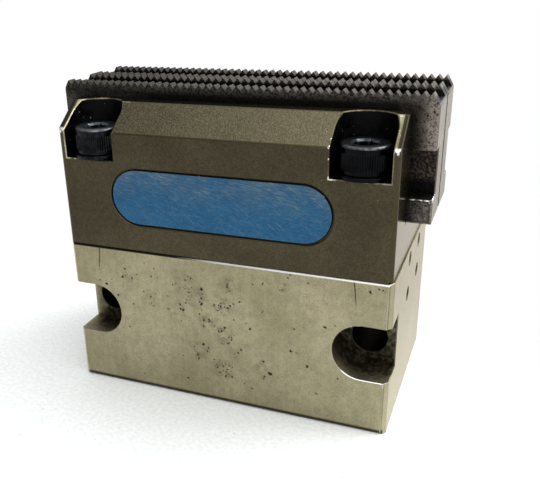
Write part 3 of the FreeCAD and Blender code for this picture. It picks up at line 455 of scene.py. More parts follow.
# The etched grain and the scratches of the hatch are drawn coarser than real ones, so that they show.
grain = patches(tree, place, 0.30, 0.3, 0.7, detail=3.0)
slope = overlap(
    tree, add(tree, "MapRange", z, SLOPE_FOOT - 0.05, SLOPE_FOOT + 0.1),
    add(tree, "MapRange", side, GUIDE_END - 0.05, GUIDE_END - 0.15))
crossed = add(
    tree, "Mapping", place, (0, 0, 0), (0, 0, math.radians(35)), (1, 6, 1), vector_type="TEXTURE")
hatch = overlap(tree, patches(tree, crossed, 0.19, 0.38, 0.66), slope)
# Painted shade and painted sheen: the slope darkens to the left and lightens to the right.
slope_shade = overlap(tree, slope, add(tree, "MapRange", x, -20.0, 20.0, 0.36, 0.16))
rubbed_and_sheen = overlap(tree, slope, add(tree, "MapRange", x, -26.0, 22.0, 0.0, 0.42))
dust = spots(tree, place, 2.4, 0.12, 0.14)
colour = layered(tree, srgb("#4a4434"), [
    ("#544e3c", 1.0, cloud), ("#3c372a", 0.30, mottle), ("#2c281d", 0.45, grain),
    ("#7d7760", 1.0, rubbed_and_sheen), ("#a39b7c", 0.34, hatch), ("#0d0c08", 1.0, slope_shade), ("#a9a492", 0.7, dust)])
raised = add(tree, "Math", grain, hatch, operation="ADD")
end_finish(tree, colour, 0.95, gloss(tree, 0.42, 0.15), raised, 0.005, edge_tint="#fff8ea")
print("guide body: ends at %.2f, slope from %.2f to %.2f mm" % (GUIDE_END, SLOPE_FOOT, GUIDE_TOP))

# %% [markdown]
# In the screw pockets old oil has turned black and holds pale dust, and the near-black colour is also
# painted shade. It gets a finish of its own, so that whole faces can have it without a mask.

# %% Oiled pockets
oily_shaded_pocket, tree, place = start_finish("oily_shaded_pocket")
film = patches(tree, place, 1.4, 0.3, 0.7, detail=4.0)
dust = spots(tree, place, 0.9, 0.14, 0.60)
# Near black for old oil and for painted shade in the pockets.
colour = layered(tree, srgb("#040404"), [("#0d0d0d", 1.0, film), ("#8d8c92", 0.75, dust)])
end_finish(tree, colour, 0.85, add(tree, "MapRange", film, 0.0, 1.0, 0.35, 0.6), film, 0.016)
print(oily_shaded_pocket.name, "has", len(tree.nodes), "nodes")

# %% [markdown]
# ## Worn edges
# A hard coat is brittle at an edge, so bare aluminium shows there. A shader can find edges by itself,
# but it finds all of them alike. Here the rounded edges have a finish of their own, with masks that say
# where a painted highlight lies: on the block's upper front edge on the right and on the lower lips of
# its recesses. The upper front edge on the left and the foot are painted dark as shade, and the insides
# of the recesses are dirty and painted dark as shade.

# %% Block edges
block_edge, tree, place = start_finish("worn_lit_shaded_block_edge")
x, z, behind, inset = on_block(tree, place)
runs = patches(tree, place, 6.0, 0.35, 0.65, detail=3.0)
chips = patches(tree, place, 0.6, 0.48, 0.54)
front = add(tree, "MapRange", behind, 0.7, 0.4)
rim = overlap(tree, front, add(tree, "MapRange", z, BLOCK_TOP - 0.6, BLOCK_TOP - 0.4))
# Painted highlight on the upper front edge on the right, and painted shade on its left part.
rim_highlight = overlap(tree, rim, add(tree, "MapRange", x, -9.0, 1.0))
rim_shade = overlap(tree, rim, add(tree, "MapRange", x, -2.0, -9.0))
# Painted highlight on the lower lips of the recesses.
lip_highlight = overlap(
    tree, front, inside(tree, inset, 1.3, 8.5, 0.6),
    inside(tree, z, RECESS_LOW - 0.5, RECESS_LOW + 1.0, 0.6),
    add(tree, "MapRange", x, -10.0, 10.0, 0.2, 1.0))
nicked = overlap(
    tree, front, chips, inside(tree, x, 24.8, 26.8, 0.4),
    inside(tree, z, RECESS_HIGH - 0.6, RECESS_HIGH + 0.6, 0.2))
# Painted shade along the foot, where the block meets the floor.
foot = add(tree, "MapRange", z, 0.6, 0.35)
hole_rims = overlap(
    tree, add(tree, "MapRange", inset, 0.2, 0.1), add(tree, "MapRange", behind, 3.0, 4.0),
    inside(tree, z, 5.0, BLOCK_TOP - 0.8, 0.2))
# Dirt and painted shade on the edges inside the recesses.
recess_grime_and_shade = overlap(
    tree, inside(tree, inset, 0.3, 10.9, 0.1), inside(tree, z, RECESS_LOW - 0.2, RECESS_HIGH + 0.2, 0.1),
    inside(tree, behind, 1.1, 38.0, 0.5))
colour = layered(tree, srgb("#8d876c"), [
    ("#b5ae95", 1.0, runs), ("#f7f6f2", 1.0, rim_highlight), ("#f7f6f2", 1.0, lip_highlight),
    ("#f7f6f2", 1.0, nicked), ("#3d392c", 0.9, hole_rims), ("#17140d", 0.95, foot),
    ("#17140d", 0.95, recess_grime_and_shade), ("#17140d", 0.95, rim_shade)])
end_finish(tree, colour, 0.95, add(tree, "MapRange", runs, 0.0, 1.0, 0.38, 0.26), runs, 0.01)
print(block_edge.name, "has", len(tree.nodes), "nodes")

# %% [markdown]
# Tools touch the guide body's pockets most. The thin outer walls of the pockets are rubbed pale, the
# other pocket edges are only nicked, and each outer corner has one bright knock. The seam above the
# block is painted black as shade in the gap.

# %% Guide body edges
POCKET_WALL, POCKET_HALF = 1.3, 5.15
POCKET_OUT = GUIDE_END - POCKET_WALL
POCKET_IN = POCKET_OUT - 2 * POCKET_HALF
POCKET_FLOOR = box_mm("lock_washer_front_right")[0][2]

guide_edge, tree, place = start_finish("worn_shaded_guide_edge")
x, _, z = add(tree, "SeparateXYZ", place).node.outputs
side = add(tree, "Math", x, operation="ABSOLUTE")
runs = patches(tree, place, 3.2, 0.38, 0.60, detail=3.0)
chips = patches(tree, place, 1.1, 0.59, 0.65, detail=3.0)
pocket = overlap(
    tree, inside(tree, side, POCKET_IN - 1.1, POCKET_OUT + 0.5, 0.1),
    add(tree, "MapRange", z, POCKET_FLOOR - 0.85, POCKET_FLOOR - 0.25))
wall = overlap(
    tree, pocket, add(tree, "MapRange", side, POCKET_OUT - 1.1, POCKET_OUT - 0.5),
    add(tree, "MapRange", runs, 0.0, 1.0, 0.6, 1.0))
arch = overlap(tree, pocket, add(tree, "MapRange", z, GUIDE_TOP - 1.05, GUIDE_TOP - 0.45), runs)
sill = overlap(
    tree, pocket, add(tree, "MapRange", z, POCKET_FLOOR + 0.55, POCKET_FLOOR + 0.15), runs,
    add(tree, "MapRange", x, -10.0, 10.0, 0.1, 1.0))
nicked = overlap(tree, pocket, chips, add(tree, "MapRange", x, -10.0, 10.0, 0.35, 0.9))
knocked = overlap(
    tree, inside(tree, side, GUIDE_END - 1.0, GUIDE_END - 0.3, 0.2),
    inside(tree, z, SLOPE_FOOT - 0.4, SLOPE_FOOT + 0.2, 0.3))
on_slope = add(tree, "MapRange", z, SLOPE_FOOT + 0.1, SLOPE_FOOT + 0.5)
right_slope = overlap(tree, add(tree, "MapRange", x, GUIDE_END - 1.3, GUIDE_END - 0.3), on_slope)
left_slope = overlap(tree, inside(tree, x, -GUIDE_END - 0.1, 1.1 - GUIDE_END, 0.05), on_slope)
# Painted shade in the gap between the guide body and the block.
seam_shade = add(tree, "MapRange", z, BLOCK_TOP + 0.45, BLOCK_TOP + 0.25)
colour = layered(tree, srgb("#494330"), [
    ("#b3aa8a", 0.9, wall), ("#a89f82", 0.6, arch), ("#d8d2bb", 0.9, sill), ("#d3d0c4", 1.0, nicked),
    ("#2b271c", 0.85, right_slope), ("#1d1a13", 0.9, left_slope), ("#e9e8e2", 1.0, knocked),
    ("#0b0a07", 1.0, seam_shade)])
end_finish(tree, colour, 0.95, add(tree, "MapRange", knocked, 0.0, 1.0, 0.40, 0.25), runs, 0.01)
print("pockets from %.2f to %.2f mm along, floor at %.2f mm" % (POCKET_IN, POCKET_OUT, POCKET_FLOOR))

# %% [markdown]
# ## Tool steel
# The jaws are hardened steel that has been oiled, handled and stained for years: black and oily along
# the front, with painted shade down towards the guide body and low on the neck, greyer at the bare ends,
# which are also painted light as a highlight, finely pitted, brown in places. The valleys between the
# teeth are darkened to near black, and the flanks stay clean. One even grey would look like plastic, so
# the patterns come first, then the places, and then both are laid over each other.

# %% Jaw patterns and places
jaw_low, jaw_high = box_mm("front_jaw")
JAW_END, TOOTH_TIP, JAW_FACE = jaw_high[0], jaw_high[2], -jaw_low[1]
FOOT_HEIGHT, NECK_HEIGHT = 4.6, 8.6
TOOTH_DEPTH, GROOVE_DEPTH = 0.85, 1.8
FOOT_TOP = jaw_low[2] + FOOT_HEIGHT
HEAD_BOTTOM = FOOT_TOP + NECK_HEIGHT

tool_steel, tree, place = start_finish("stained_lit_shaded_tool_steel")
x, y, z = add(tree, "SeparateXYZ", place).node.outputs
side = add(tree, "Math", x, operation="ABSOLUTE")
depth = add(tree, "Math", y, operation="ABSOLUTE")
cloud = patches(tree, place, 3.2, 0.35, 0.65, detail=4.0)
rust = patches(tree, place, 2.2, 0.47, 0.60, detail=5.0)
scale = patches(tree, place, 0.5, 0.46, 0.55, detail=5.0)
speckle = patches(tree, place, 0.34, 0.50, 0.62, detail=3.0)
holes = spots(tree, place, 0.5, 0.22, 0.6)
neck = inside(tree, z, FOOT_TOP + 0.15, HEAD_BOTTOM - 0.15, 0.1)
# Oil and painted shade: the neck is near black low down.
neck_foot_oil_and_shade = overlap(
    tree, inside(tree, z, FOOT_TOP + 0.15, FOOT_TOP + 2.25, 0.8), add(tree, "MapRange", depth, 5.0, 6.0))
foot = add(tree, "MapRange", z, FOOT_TOP + 0.05, FOOT_TOP - 0.05)
top = add(tree, "MapRange", z, TOOTH_TIP - 2.0, TOOTH_TIP - 1.9)
front = add(tree, "MapRange", depth, JAW_FACE - 0.2, JAW_FACE - 0.05)
off_front = add(tree, "MapRange", depth, JAW_FACE - 0.05, JAW_FACE - 0.2)
oiled = add(tree, "MapRange", x, JAW_END - 1.5, JAW_END - 7.0)
# Partly bare steel, partly painted highlight: the end faces are painted light.
end = add(tree, "MapRange", side, JAW_END - 0.25, JAW_END - 0.1)
print("jaws: end at %.2f, neck from %.2f to %.2f, tips at %.2f mm" % (
    JAW_END, FOOT_TOP, HEAD_BOTTOM, TOOTH_TIP))

# %% Jaw finish
shaded = overlap(tree, top, add(tree, "MapRange", x, 36.0, -24.0, 0.15, 0.80))
shadowed = overlap(
    tree, front, add(tree, "MapRange", side, GUIDE_END + 2.6, GUIDE_END + 0.3),
    add(tree, "MapRange", z, GUIDE_TOP + 0.55, GUIDE_TOP - 0.85))
bare = overlap(
    tree, add(tree, "MapRange", side, JAW_END - 3.0, JAW_END - 1.0),
    add(tree, "MapRange", z, HEAD_BOTTOM - 0.25, HEAD_BOTTOM - 0.05))
# Oil and painted shade: the front darkens down towards the guide body.
oil_and_shade = overlap(
    tree, oiled, add(tree, "MapRange", z, TOOTH_TIP - 0.9, TOOTH_TIP - 2.1),
    add(tree, "MapRange", x, -36.0, -12.0, 0.75, 0.97))
tooth_front = overlap(tree, front, oiled, add(tree, "MapRange", z, TOOTH_TIP - 3.0, TOOTH_TIP - 2.0))
blotches = overlap(tree, tooth_front, patches(tree, place, 0.5, 0.42, 0.62, detail=5.0))
valley = overlap(
    tree, top, off_front, add(tree, "MapRange", z, TOOTH_TIP - 0.45, TOOTH_TIP - TOOTH_DEPTH))
drawn_out = add(tree, "Mapping", place, (0, 0, 0), (0, 0, 0), (1, 1, 9), vector_type="TEXTURE")
streaks = overlap(tree, end, patches(tree, drawn_out, 0.9, 0.40, 0.62, detail=3.0))
colour = layered(tree, srgb("#565049"), [
    ("#857d76", 1.0, cloud), ("#35281f", 0.50, rust), ("#6d665b", 0.75, top), ("#a39b90", 0.55, bare),
    ("#17110c", 0.90, neck), ("#5f564b", 0.60, overlap(tree, neck, scale)),
    ("#2c2722", 0.45, overlap(tree, foot, scale)), ("#0c0b0a", 0.60, speckle), ("#070606", 0.85, holes),
    ("#14120f", 1.0, shaded), ("#45413b", 0.60, tooth_front), ("#0d0c0a", 0.75, blotches),
    ("#070706", 1.0, oil_and_shade), ("#050505", 0.92, valley), ("#0a0908", 0.85, shadowed),
    ("#060606", 0.92, neck_foot_oil_and_shade), ("#a09a8e", 0.85, end), ("#4c473f", 0.20, streaks)])
sunk = add(tree, "Math", speckle, holes, operation="MAXIMUM")
sunk = add(tree, "Math", 1.0, sunk, operation="SUBTRACT")
end_finish(tree, colour, 0.9, add(tree, "MapRange", cloud, 0.0, 1.0, 0.36, 0.50), sunk, 0.036)
print(tool_steel.name, "has", len(tree.nodes), "nodes")

# %% [markdown]
# Where the jaws stand out of the guide body, their edges have lost the stain: bright on the foot, grey
# under the head and at the ends. The edges beside the gap between the jaws are painted black as shade.

# %% Jaw edges
jaw_edge, tree, place = start_finish("worn_shaded_jaw_edge")
x, y, z = add(tree, "SeparateXYZ", place).node.outputs
side = add(tree, "Math", x, operation="ABSOLUTE")
chips = patches(tree, place, 0.9, 0.40, 0.56, detail=3.0)
bare = add(tree, "MapRange", side, GUIDE_END + 0.3, GUIDE_END + 1.6)
foot_rim = overlap(tree, bare, chips, inside(tree, z, FOOT_TOP - 0.45, FOOT_TOP + 0.15, 0.1))
head_rim = overlap(tree, bare, inside(tree, z, HEAD_BOTTOM - 0.15, HEAD_BOTTOM + 0.25, 0.1))
upright = add(tree, "MapRange", side, JAW_END - 0.3, JAW_END - 0.15)
# Painted shade beside the gap between the jaws.
gap_shade = inside(tree, y, -0.8, 0.8, 0.1)
colour = layered(tree, srgb("#14120f"), [
    ("#4d4740", 0.8, bare), ("#6d675d", 0.8, head_rim), ("#6d675d", 0.8, upright),
    ("#efeeea", 1.0, foot_rim), ("#060605", 1.0, gap_shade)])
end_finish(tree, colour, 0.95, add(tree, "MapRange", chips, 0.0, 1.0, 0.42, 0.28), chips, 0.01)
print(jaw_edge.name, "has", len(tree.nodes), "nodes")

# %% [markdown]
# ## Lacquered plate
# The plate in front is thin aluminium with blue lacquer. Wiping has left fine scratches, mostly along
# it, and has greyed its upper half. Each kind of scratch is noise drawn out along its own direction.
# The narrow gap round the plate is black with oil and painted shade, so its rim gets the finish of
# the pockets.

# %% Plate finish
PLATE_TOP = box_mm("badge_plate")[1][2]

blue_plate, tree, place = start_finish("blue_lacquered_plate")
z = add(tree, "SeparateXYZ", place).node.outputs["Z"]
cloud = patches(tree, place, 5.0, 0.3, 0.7)
# Grain and scratches are a few hundredths of a millimetre wide, drawn coarser here so that they show.
grain = patches(tree, place, 0.22, 0.35, 0.7, detail=3.0)
worn = patches(tree, place, 3.0, 0.25, 0.6, detail=4.0)
faded = overlap(tree, add(tree, "MapRange", z, PLATE_TOP - 6.6, PLATE_TOP - 0.1), worn)
lengthwise = add(
    tree, "Mapping", place, (0, 0, 0), (0, math.radians(8), 0), (10, 1, 1), vector_type="TEXTURE")
fine = overlap(
    tree, patches(tree, lengthwise, 0.16, 0.50, 0.70),
    add(tree, "MapRange", faded, 0.0, 1.0, 0.10, 0.45))
aslant = add(
    tree, "Mapping", place, (0, 0, 0), (0, math.radians(-35), 0), (16, 1, 1), vector_type="TEXTURE")
long = patches(tree, aslant, 0.24, 0.60, 0.72)
across = add(
    tree, "Mapping", place, (0, 0, 0), (0, math.radians(38), 0), (14, 1, 1), vector_type="TEXTURE")
crossing = patches(tree, across, 0.20, 0.62, 0.74)
colour = layered(tree, srgb("#27597f"), [
    ("#2f6083", 1.0, cloud), ("#1a3d59", 0.40, grain), ("#566670", 0.55, faded), ("#8199a6", 1.0, fine),
    ("#12283a", 0.35, long), ("#8b9384", 0.28, crossing)])
level = add(tree, "Math", 1.0, fine, operation="SUBTRACT")
level = add(tree, "Math", level, long, operation="SUBTRACT")
end_finish(tree, colour, 0.85, add(tree, "MapRange", grain, 0.0, 1.0, 0.40, 0.50), level, 0.003)
print(blue_plate.name, "has", len(tree.nodes), "nodes")

# %% [markdown]
# ## Screws
# The screws are blackened steel: a thin black oxide that stays a little glossy. Keys have rubbed the
# black off the rims of their heads, and the heads on the right are oilier. Masks by height find the
# heads, because all four stand at the same level.

# %% Screw finish
HEAD_TOP = box_mm("cover_screw_front_left")[1][2]

black_oxide, tree, place = start_finish("blackened_steel")
x, _, z = add(tree, "SeparateXYZ", place).node.outputs
marks = patches(tree, place, 0.9, 0.3, 0.7, detail=3.0)
scuffs = patches(tree, place, 1.3, 0.35, 0.65, detail=4.0)
head_top = overlap(
    tree, add(tree, "MapRange", z, HEAD_TOP - 0.5, HEAD_TOP - 0.2),
    add(tree, "MapRange", x, -10.0, 10.0, 1.0, 0.5))
oily = add(tree, "MapRange", x, -10.0, 10.0)
head_rim = overlap(tree, inside(tree, z, HEAD_TOP - 0.4, HEAD_TOP - 0.15, 0.1), scuffs)
colour = layered(tree, srgb("#0e0f11"), [
    ("#1e2023", 1.0, marks), ("#050506", 0.75, oily), ("#4c4f54", 0.70, head_top),
    ("#85878b", 0.50, head_rim)])
end_finish(tree, colour, 0.9, add(tree, "MapRange", marks, 0.0, 1.0, 0.26, 0.40), marks, 0.003)
print("screw heads reach %.2f mm" % HEAD_TOP)

# %% [markdown]
# ## Hidden pieces
# The pieces inside are ground, turned, sintered or moulded. Ground and turned metal is bright, with fine
# marks. Phosphated steel is dark and dull, sintered bronze is porous and matt, and plastic and rubber
# reflect little. They differ only in colour, gloss and grain, so one function makes them all. The real
# tool marks are finer, and are drawn coarser so that they show.

# %% Hidden pieces


def even_finish(name, low, high, across, metallic, smooth, rough):
    """A soft change between two near colours and two roughnesses, as a turned or moulded piece shows."""
    finish, tree, place = start_finish(name)
    marks = patches(tree, place, across, 0.3, 0.7, detail=3.0)
    colour = layered(tree, srgb(low), [(high, 1.0, marks)])
    roughness = add(tree, "MapRange", marks, 0.0, 1.0, smooth, rough)
    end_finish(tree, colour, metallic, roughness, marks, 0.003)
    return finish


SLOT_FINISH = {
    "light_anodised_aluminium": pale_anodised, "dark_anodised_aluminium": dark_anodised,
    "jaw_steel": tool_steel, "blue_plate": blue_plate, "black_oxide_steel": black_oxide,
    "hardened_steel": even_finish("ground_steel", "#8b8b8d", "#a2a2a3", 0.6, 1.0, 0.22, 0.30),
    "spring_steel": even_finish("phosphated_spring_steel", "#2b2b2d", "#3a3a3b", 0.5, 0.7, 0.45, 0.55),
    "turned_aluminium": even_finish("turned_aluminium", "#a3a3a1", "#bdbdbb", 0.4, 1.0, 0.28, 0.36),
    "bronze": even_finish("sintered_bronze", "#7a5a2c", "#96703a", 0.3, 1.0, 0.40, 0.50),
    "bearing_plastic": even_finish("bearing_plastic", "#5a4632", "#6a5440", 0.5, 0.0, 0.50, 0.60),
    "seal_rubber": even_finish("seal_rubber", "#0e0e0e", "#191919", 0.4, 0.0, 0.50, 0.65)}
node_slot = {part["node"]: part["material_slot"] for part in frame["record"]["subparts"]}
for node, piece in frame["nodes"].items():
    piece.data.materials.clear()
    piece.data.materials.append(SLOT_FINISH[node_slot[node]])
print(len(node_slot), "nodes have a finish")

# %% [markdown]
# ## Broken edges
# No machined edge is perfectly sharp, and a narrow rounded edge is what catches the light. The block,
# the guide body, the jaws and the plate are copied from the model. Modelling each rounding by hand would
# be slow, so their equal corners are merged, their flat triangles are joined, and a Bevel modifier
# rounds the edges and gives the new strips a finish of their own.

# %% Merged copies
WELD = 1e-7


def numbers(items, name, size, kind=float):
    """One property of all items of a mesh, as a row of so many numbers for each item."""
    values = np.empty(len(items) * size, dtype=kind)
    items.foreach_get(name, values)
    return values.reshape(-1, size) if size > 1 else values


def welded(node):
    """Corners and triangles of a CAD node, with corners at the same place merged into one."""
    mesh = frame["nodes"][node].data
    places = numbers(mesh.vertices, "co", 3)
    corners = numbers(mesh.loops, "vertex_index", 1, np.int32)
    _, first, merged = np.unique(np.round(places / WELD), axis=0, return_index=True, return_inverse=True)
    return places[first], merged.reshape(-1)[corners].reshape(-1, 3)


print("the block has", len(welded("base_body")[0]), "corners after merging")

# %% [markdown]
# Inner corners stay sharp, because a cutter leaves them so, and only edges that stand out are rounded.
# Which ones those are follows from the two faces at each edge.

# %% Outer edges
SHARP = math.radians(30)


def outward_edges(mesh):
    """True for each edge that is sharp and stands out instead of being an inner corner. Beside an edge,
    a face runs in along its normal crossed with the way round it. The edge stands out where that way in
    goes down behind the other face."""
    places = numbers(mesh.vertices, "co", 3)
    sizes = numbers(mesh.polygons, "loop_total", 1, np.int32)
    corner = numbers(mesh.loops, "vertex_index", 1, np.int32)
    edge = numbers(mesh.loops, "edge_index", 1, np.int32)
    starts = np.cumsum(sizes) - sizes
    following = np.arange(len(corner)) + 1
    following[starts + sizes - 1] = starts
    normal = np.repeat(numbers(mesh.polygons, "normal", 3), sizes, axis=0)
    way_in = np.cross(normal, places[corner[following]] - places[corner])
    pair = np.argsort(edge, kind="stable").reshape(-1, 2)
    turn = np.arccos(np.clip((normal[pair[:, 0]] * normal[pair[:, 1]]).sum(axis=1), -1, 1))
    outward = (normal[pair[:, 0]] * way_in[pair[:, 1]]).sum(axis=1) < 0
    result = np.zeros(len(mesh.edges), dtype=bool)
    result[edge[pair[:, 0]]] = outward & (turn > SHARP)
    return result


print("edges that turn by more than %.0f degrees are rounded" % math.degrees(SHARP))

# %% [markdown]
# A rounded copy stands for its CAD node: it rides on the same body, takes the same slot and replaces the
# node, so a pose moves it too. The modifiers stay on the piece, so a width can still be changed. The
# block comes first.

# %% Rounded block
FLAT = math.radians(1)


def put_on(piece, node):
    """Lets a piece stand for a CAD node: it rides on the node's body, and the node is hidden."""
    body = next(name for name, nodes in frame["record"]["behaviour"]["bodies"].items() if node in nodes)
    bpy.context.scene.collection.objects.link(piece)
    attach(piece, body)
    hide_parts(node)
    return piece


def softened(node, edge_finish, width, top=np.inf):
    """A copy of a CAD node whose outer edges are rounded over so many millimetres, apart from those that
    reach above a height."""
    places, triangles = welded(node)
    mesh = bpy.data.meshes.new(node + "_finished")
    mesh.from_pydata(places.tolist(), [], triangles.tolist())
    joined = bmesh.new()
    joined.from_mesh(mesh)
    bmesh.ops.dissolve_limit(joined, angle_limit=FLAT, verts=joined.verts, edges=joined.edges)
    joined.to_mesh(mesh)
    joined.free()
    mesh.polygons.foreach_set("use_smooth", np.ones(len(mesh.polygons), dtype=bool))
    mesh.set_sharp_from_angle(angle=SHARP)
    ends = numbers(mesh.edges, "vertices", 2, np.int32)
    heights = numbers(mesh.vertices, "co", 3)[ends][:, :, 2] / MM
    rounded = outward_edges(mesh) & (heights.max(axis=1) < top)
    weight = mesh.attributes.new("bevel_weight_edge", "FLOAT", "EDGE")
    weight.data.foreach_set("value", rounded.astype(np.float32))
    mesh.materials.append(SLOT_FINISH[node_slot[node]])
    mesh.materials.append(edge_finish)
    piece = bpy.data.objects.new(node + "_finished", mesh)
    bevel = piece.modifiers.new("edge_break", "BEVEL")
    bevel.width = width * MM
    bevel.segments = 2
    bevel.limit_method = "WEIGHT"
    bevel.use_clamp_overlap = False
    bevel.material = 1
    piece.modifiers.new("flat_faces", "WEIGHTED_NORMAL").keep_sharp = True
    print(node, "faces", len(mesh.polygons), "rounded edges", int(rounded.sum()))
    return put_on(piece, node)


block = softened("base_body", block_edge, width=0.12)

# %% [markdown]
# The block's chamfers along its top and foot get the edge finish too, with its wear, painted highlight
# and painted shade. They are found by their slope and by how near the top or the foot they are. The
# plate needs only its rim rounded.

# %% Block chamfers and plate
LEANING, CHAMFER_REACH = 0.3, 0.5


def face_facts(mesh):
    """Middle of each face in millimetres, and its normal without signs."""
    return numbers(mesh.polygons, "center", 3) / MM, np.abs(numbers(mesh.polygons, "normal", 3))


middles, normals = face_facts(block.data)
chamfers = ((normals > LEANING).sum(axis=1) > 1) & (normals[:, 2] > LEANING)
chamfers &= np.abs(middles[:, 2] - BLOCK_TOP / 2) > BLOCK_TOP / 2 - CHAMFER_REACH
block.data.polygons.foreach_set("material_index", chamfers.astype(np.int32))
softened("badge_plate", oily_shaded_pocket, width=0.18)
print("block chamfers", int(chamfers.sum()))

# %% [markdown]
# The guide body's screw pockets get the oily, shaded finish. Their faces are found by where they lie:
# inside the pockets' width and above their floor. The slopes of the thin walls at both ends are worn and
# get the edge finish.

# %% Guide body
screw_low, screw_high = box_mm("cover_screw_rear_right")
SCREW_X, SCREW_Y = ((screw_low + screw_high) / 2)[:2]
NEARLY = 0.02

guide = softened("guide_body", guide_edge, width=0.20)
guide.data.materials.append(oily_shaded_pocket)
middles, normals = face_facts(guide.data)
aside, back = np.abs(middles[:, 0]), np.abs(middles[:, 1])
in_pocket = (aside > POCKET_IN - NEARLY) & (aside < POCKET_OUT + NEARLY)
in_pocket &= (middles[:, 2] > POCKET_FLOOR - NEARLY) & (back > SCREW_Y - POCKET_HALF - NEARLY)
outer_slope = (aside > POCKET_OUT + NEARLY) & (normals[:, 1:].min(axis=1) > LEANING)
kinds = np.where(in_pocket, 2, np.where(outer_slope, 1, 0))
guide.data.polygons.foreach_set("material_index", kinds.astype(np.int32))
print("pocket faces", int(in_pocket.sum()), "outer slopes", int(outer_slope.sum()))

# %% [markdown]
# The teeth of the jaws are ground sharp to bite, so only the edges up to the floor of the groove between
# the two rows of teeth are rounded.

# %% Jaws
for node in ("front_jaw", "rear_jaw"):
    softened(node, jaw_edge, width=0.18, top=TOOTH_TIP - GROOVE_DEPTH + NEARLY)

# %% [markdown]
# ## Socket screws
# A socket screw is turned, its head is rolled with straight knurls and the hexagon is punched. It could
# be cut from cylinders with Boolean modifiers, but those leave untidy meshes. So its skin is one profile
# of radius and height carried round the axis, with two changes that depend on the angle: a wave for the
# knurls, and the hexagon's own radius in the socket.

# %% Screw skin
STEPS, RIM_STEPS = 240, 7
KNURLS, KNURL_DEPTH, KNURL_LOW, KNURL_HIGH = 60, 0.20, 1.0, 3.4
HEAD_RADIUS, HEAD_HEIGHT, RIM = 4.25, 5.0, 0.6
SHANK_RADIUS, SHANK_LENGTH, TIP_CHAMFER = 2.5, 25.0, 0.4
HEXAGON_HALF, SOCKET_DEPTH = 2.0, 2.5


def socket_screw(turn):
    """Rings of a socket screw: radius times a blend of round and hexagon, less a wave for the knurls.
    Each row of the profile gives a radius, a height, the share of knurl and the share of hexagon."""
    angle = np.arange(STEPS) * (2 * np.pi / STEPS)
    hexagon = 1 / np.cos((angle + np.pi / 6) % (np.pi / 3) - np.pi / 6)
    wave = 0.5 - 0.5 * np.cos(KNURLS * angle)
    head, top, key, shank = HEAD_RADIUS, HEAD_HEIGHT, HEXAGON_HALF, SHANK_RADIUS
    below = np.array([
        [shank - TIP_CHAMFER, -SHANK_LENGTH, 0, 0], [shank, TIP_CHAMFER - SHANK_LENGTH, 0, 0],
        [shank, -0.01, 0, 0], [shank + 0.05, 0, 0, 0], [head - 0.25, 0, 0, 0],
        [head - 0.08, 0.07, 0, 0], [head, 0.24, 0, 0], [head, 0.34, 0, 0],
        [head, KNURL_LOW - 0.2, 0, 0], [head, KNURL_LOW, 1, 0],
        [head, KNURL_HIGH, 1, 0], [head, KNURL_HIGH + 0.25, 0, 0]])
    bend = np.linspace(0, np.pi / 2, RIM_STEPS)[:, None]
    rim = np.hstack([
        head - RIM + RIM * np.cos(bend), top - RIM + RIM * np.sin(bend), 0 * bend, 0 * bend])
    socket = np.array([
        [key + 0.62, top, 0, 0], [key + 0.50, top - 0.02, 0, 0], [key + 0.24, top - 0.20, 0, 0.5],
        [key, top - 0.42, 0, 1], [key, top - SOCKET_DEPTH, 0, 1],
        [key - 0.1, top - SOCKET_DEPTH - 0.1, 0, 1], [0.4, top - SOCKET_DEPTH - 0.5, 0, 1]])
    profile = np.vstack([below, rim, socket])[:, :, None]
    radius = profile[:, 0] * (1 - profile[:, 3] + profile[:, 3] * hexagon)
    radius = radius - profile[:, 2] * KNURL_DEPTH * wave
    height = np.broadcast_to(profile[:, 1], radius.shape)
    return np.stack([radius * np.cos(angle + turn), radius * np.sin(angle + turn), height], axis=-1)


print("a screw has", socket_screw(0.0).shape[0], "rings of", STEPS, "points")

# %% [markdown]
# Under each head lies a split lock washer, pressed flat. It is wound from square wire whose corners are
# a little round, so its skin is such a section carried round the axis from one side of the split to the
# other.

# %% Washer skin
WASHER_IN, WASHER_OUT, WASHER_THICK = 2.6, 4.6, 0.8
SPLIT = 0.06
WASHER_STEPS, SECTION_STEPS = 121, 32


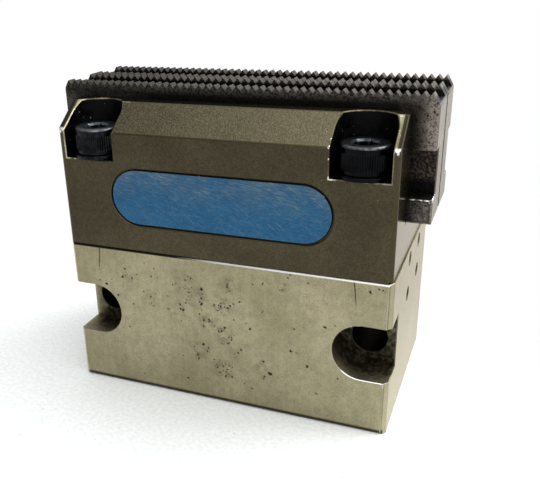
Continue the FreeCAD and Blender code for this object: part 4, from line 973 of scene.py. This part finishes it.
def lock_washer(turn):
    """Rings of a split washer: a rounded oblong section carried round from one side of the split to
    the other. The section is a squared circle, cosine and sine each to the power of one third."""
    along = np.linspace(SPLIT, 2 * np.pi - SPLIT, WASHER_STEPS)[:, None] + turn
    around = -np.arange(SECTION_STEPS) * (2 * np.pi / SECTION_STEPS)
    wide, tall = np.cbrt(np.cos(around)), np.cbrt(np.sin(around))
    radius = (WASHER_IN + WASHER_OUT) / 2 + wide * (WASHER_OUT - WASHER_IN) / 2
    height = np.broadcast_to(WASHER_THICK / 2 * (1 + tall), (len(along), len(around)))
    return np.stack([radius * np.cos(along), radius * np.sin(along), height], axis=-1)


print("a washer has", lock_washer(0.0).shape[0], "rings of", SECTION_STEPS, "points")

# %% [markdown]
# The four screws and washers stand at the corners of one rectangle. Each is turned by its own angle, as
# screws are once they have been tightened. One function joins the rings of either skin into a closed
# mesh.

# %% Screws and washers in place
CREASE = math.radians(40)


def ring_mesh(name, rings):
    """Closed mesh through a stack of rings, each with as many points, and a middle point at each end."""
    count, steps = rings.shape[:2]
    index = np.arange(count * steps).reshape(count, steps)
    after = np.roll(index, -1, axis=1)
    walls = np.stack([index[:-1], after[:-1], after[1:], index[1:]], axis=-1).reshape(-1, 4)
    first, last = count * steps, count * steps + 1
    start = np.stack([after[0], index[0], np.full(steps, first)], axis=-1)
    end = np.stack([index[-1], after[-1], np.full(steps, last)], axis=-1)
    places = np.concatenate([rings.reshape(-1, 3), rings[[0, -1]].mean(axis=1)])
    mesh = bpy.data.meshes.new(name)
    mesh.from_pydata((places * MM).tolist(), [], walls.tolist() + start.tolist() + end.tolist())
    mesh.polygons.foreach_set("use_smooth", np.ones(len(mesh.polygons), dtype=bool))
    mesh.set_sharp_from_angle(angle=CREASE)
    return mesh


# The signs of each corner along and across, and the turn of its screw in radians.
CORNERS = {
    "front_left": (-1, -1, 0.3), "front_right": (1, -1, 0.9),
    "rear_left": (-1, 1, 0.1), "rear_right": (1, 1, 0.6)}
for name, (x_sign, y_sign, turn) in CORNERS.items():
    seat = np.array([x_sign * SCREW_X, y_sign * SCREW_Y, POCKET_FLOOR])
    skins = {
        "lock_washer_" + name: lock_washer(4 * turn) + seat,
        "cover_screw_" + name: socket_screw(turn) + seat + [0, 0, WASHER_THICK]}
    for node, rings in skins.items():
        mesh = ring_mesh(node + "_finished", rings)
        mesh.materials.append(black_oxide)
        put_on(bpy.data.objects.new(node + "_finished", mesh), node)
print("screws at %.2f, %.2f mm on seats at %.2f mm" % (SCREW_X, SCREW_Y, POCKET_FLOOR))
